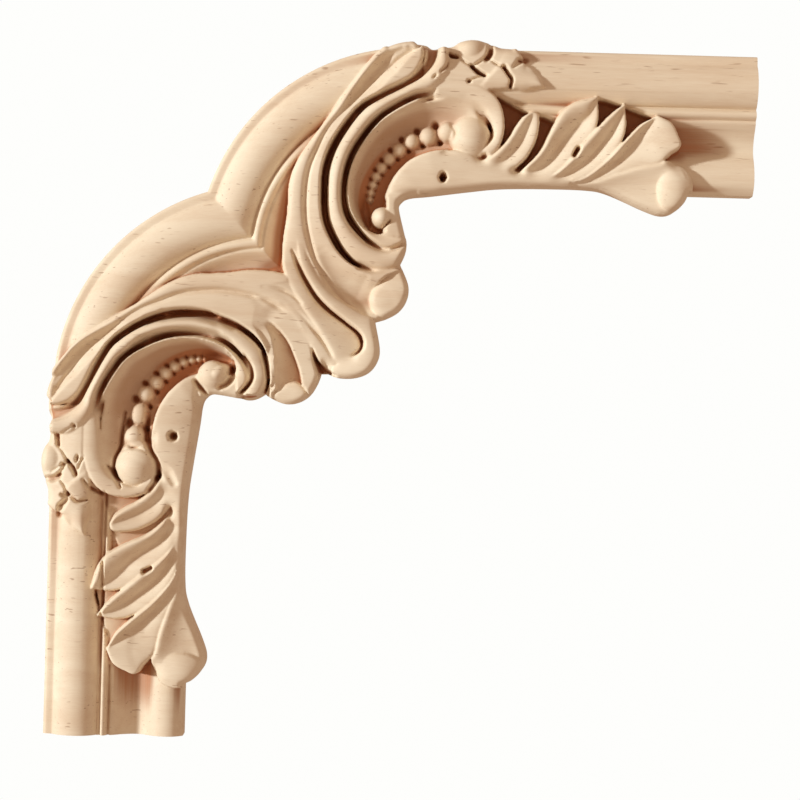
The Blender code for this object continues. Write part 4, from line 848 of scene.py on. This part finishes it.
def beechGrain():
    # grain of the wood along X: its colour, its pores and its fibres' height
    group = bpy.data.node_groups.new("beechGrain", "ShaderNodeTree")
    for name, kind in (("Pale", "Color"), ("Dark", "Color"), ("Pore", "Color"), ("Pore Amount", "Float")):
        group.interface.new_socket(name, in_out="INPUT", socket_type="NodeSocket" + kind)
    for name, kind in (("Color", "Color"), ("Height", "Float")):
        group.interface.new_socket(name, in_out="OUTPUT", socket_type="NodeSocket" + kind)
    given = newNode(group, "NodeGroupInput", (-1400, 0))
    out = newNode(group, "NodeGroupOutput", (900, 0))
    position = newNode(group, "ShaderNodeTexCoord", (-1400, -300)).outputs["Object"]
    patches = stretchedNoise(group, (-1100, 400), position, (9, 30, 30), 2)
    rings = stretchedNoise(group, (-1100, 150), position, (14, 160, 160), 4, 0.6, 0.4)
    fibres = stretchedNoise(group, (-1100, -100), position, (160, 2600, 2600), 3, 0.65)
    poreNoise = stretchedNoise(group, (-1100, -350), position, (110, 1150, 1150), 1)
    poreField = stretchedNoise(group, (-1100, -600), position, (30, 60, 60), 1)
    pores = rampNode(group, (-500, -350), poreNoise, 0.66, 0.76)
    where = rampNode(group, (-500, -600), poreField, 0.38, 0.60)
    pores = mathNode(group, "MULTIPLY", (-250, -400), pores, where)
    tone = mathNode(group, "MULTIPLY_ADD", (-500, 300), patches, 0.55, 0.0)
    tone = mathNode(group, "MULTIPLY_ADD", (-300, 250), rings, 0.65, tone)
    tone = mathNode(group, "MULTIPLY_ADD", (-100, 200), fibres, 0.30, tone)
    share = rampNode(group, (100, 200), tone, 0.55, 0.98)
    colour = blendNode(group, (300, 200), share, given.outputs["Pale"], given.outputs["Dark"])
    amount = mathNode(group, "MULTIPLY", (100, -200), pores, given.outputs["Pore Amount"])
    colour = blendNode(group, (550, 100), amount, colour, given.outputs["Pore"])
    height = mathNode(group, "MULTIPLY_ADD", (300, -400), pores, -1.6, fibres)
    link(group, colour, out.inputs["Color"])
    link(group, height, out.inputs["Height"])
    return group


def carvedBeech(grain):
    material = bpy.data.materials.new("carvedBeech")
    material.use_nodes = True
    tree = material.node_tree
    shader = tree.nodes["Principled BSDF"]
    shader.inputs["Specular IOR Level"].default_value = 0.35
    fibre = newNode(tree, "ShaderNodeGroup", (-900, 100), node_tree=grain)
    for name, value in (("Pale", "paleColour"), ("Dark", "darkColour"), ("Pore", "poreColour"),
                        ("Pore Amount", "poreAmount")):
        fibre.inputs[name].default_value = wood[value]
    # painted shade: crevices, hollows and the deep hollows darken towards brown by how deep they lie
    layers = [newNode(tree, "ShaderNodeAttribute", (-900, at), attribute_name=name)
              for name, at in (("creviceShade", -300), ("hollow", -500), ("deepHollowShade", -700))]
    creviceShade, hollow, deepHollowShade = [layer.outputs["Fac"] for layer in layers]
    near = rampNode(tree, (-700, -300), creviceShade, *wood["creviceFrom"], 0.0, wood["darkest"])
    far = rampNode(tree, (-700, -500), hollow, *wood["hollowFrom"], 0.0, wood["darkest"])
    deepHollowShade = mathNode(tree, "MULTIPLY", (-700, -700), deepHollowShade, wood["deepHollowShadeAmount"])
    far = mathNode(tree, "MAXIMUM", (-600, -600), far, deepHollowShade)
    colour = blendNode(tree, (-500, 100), far, fibre.outputs["Color"], wood["hollowColour"])
    colour = blendNode(tree, (-300, 100), near, colour, wood["creviceShadeColour"])
    link(tree, colour, shader.inputs["Base Color"])
    rough = rampNode(tree, (-500, 350), fibre.outputs["Height"], 0.2, 0.9, *wood["roughness"])
    link(tree, rough, shader.inputs["Roughness"])
    bump = newNode(tree, "ShaderNodeBump", (-300, -300), Strength=0.5, Distance=wood["fibreBump"])
    link(tree, fibre.outputs["Height"], bump.inputs["Height"])
    link(tree, bump.outputs["Normal"], shader.inputs["Normal"])
    return material


piece = onlayMesh()
grain = beechGrain()
piece.data.materials.clear()
piece.data.materials.append(carvedBeech(grain))
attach(piece, "root")
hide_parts("corner_onlay")
print("wood: done")

# what a user would change on the stage, the light and the camera; lengths in metres
studio = {
    "floorAt": -0.26,
    "floorSize": 3.0,
    "background": (0.99, 0.99, 0.972, 1.0),
    "fillColour": (0.52, 0.37, 0.28, 1.0),
    "keyStrength": 3.35,
    "keyColour": (0.90, 0.97, 1.0),
    "keyTurn": 9.0,             # degrees that the key light stands above the left
    "keyRise": 27.0,            # degrees between the light's rays and the onlay's back
    "keySoftness": 5.0,
    "lens": 100.0,
    "frameHeight": 0.322,       # metres that the picture shows at the onlay
    "aim": (0.045, -0.012, -0.047),
    "roll": 1.6,                # degrees clockwise that the onlay seems turned
}


def layFloor():
    half = studio["floorSize"] / 2
    mesh = bpy.data.meshes.new("paleFloor")
    corners = [(x * half, y * half, studio["floorAt"]) for x, y in ((-1, -1), (1, -1), (1, 1), (-1, 1))]
    mesh.from_pydata(corners, [], [(0, 1, 2, 3)])
    floor = added("paleFloor", mesh)
    material = bpy.data.materials.new("palePaper")
    material.use_nodes = True
    tree = material.node_tree
    shader = tree.nodes["Principled BSDF"]
    shader.inputs["Base Color"].default_value = (0, 0, 0, 1)
    shader.inputs["Specular IOR Level"].default_value = 0
    shader.inputs["Emission Color"].default_value = studio["background"]
    shader.inputs["Emission Strength"].default_value = 1.0
    mesh.materials.append(material)
    floor.visible_diffuse = floor.visible_glossy = False


def lightUp():
    world = bpy.context.scene.world or bpy.data.worlds.new("studio")
    bpy.context.scene.world = world
    world.use_nodes = True
    tree = world.node_tree
    tree.nodes.clear()
    seen = newNode(tree, "ShaderNodeBackground", (0, 150), Color=studio["background"])
    fill = newNode(tree, "ShaderNodeBackground", (0, -50), Color=studio["fillColour"])
    rays = newNode(tree, "ShaderNodeLightPath", (0, 450))
    mix = newNode(tree, "ShaderNodeMixShader", (250, 100))
    out = newNode(tree, "ShaderNodeOutputWorld", (450, 100))
    link(tree, rays.outputs["Is Camera Ray"], mix.inputs[0])
    link(tree, fill.outputs[0], mix.inputs[1])
    link(tree, seen.outputs[0], mix.inputs[2])
    link(tree, mix.outputs[0], out.inputs["Surface"])
    key = added("keyLight", bpy.data.lights.new("keyLight", "SUN"))
    key.data.energy = studio["keyStrength"]
    key.data.color = studio["keyColour"]
    key.data.angle = math.radians(studio["keySoftness"])
    rise, turn = math.radians(studio["keyRise"]), math.radians(studio["keyTurn"])
    towards = Vector((-math.cos(rise) * math.cos(turn), -math.sin(rise), math.cos(rise) * math.sin(turn)))
    key.rotation_mode = "QUATERNION"
    key.rotation_quaternion = towards.to_track_quat("Z", "Y")


def placeCamera():
    camera = added("camera", bpy.data.cameras.new("camera"))
    camera.data.lens = studio["lens"]
    away = studio["frameHeight"] / 2 / (camera.data.sensor_width / 2 / camera.data.lens)
    aim = Vector(studio["aim"])
    camera.location = aim + Vector((0, -away, 0))
    camera.rotation_euler = (math.radians(90), -math.radians(studio["roll"]), 0)
    camera.data.clip_start = 0.01
    bpy.context.scene.camera = camera


layFloor()
lightUp()
placeCamera()
bpy.context.scene.view_settings.view_transform = "Standard"
print("studio: done")
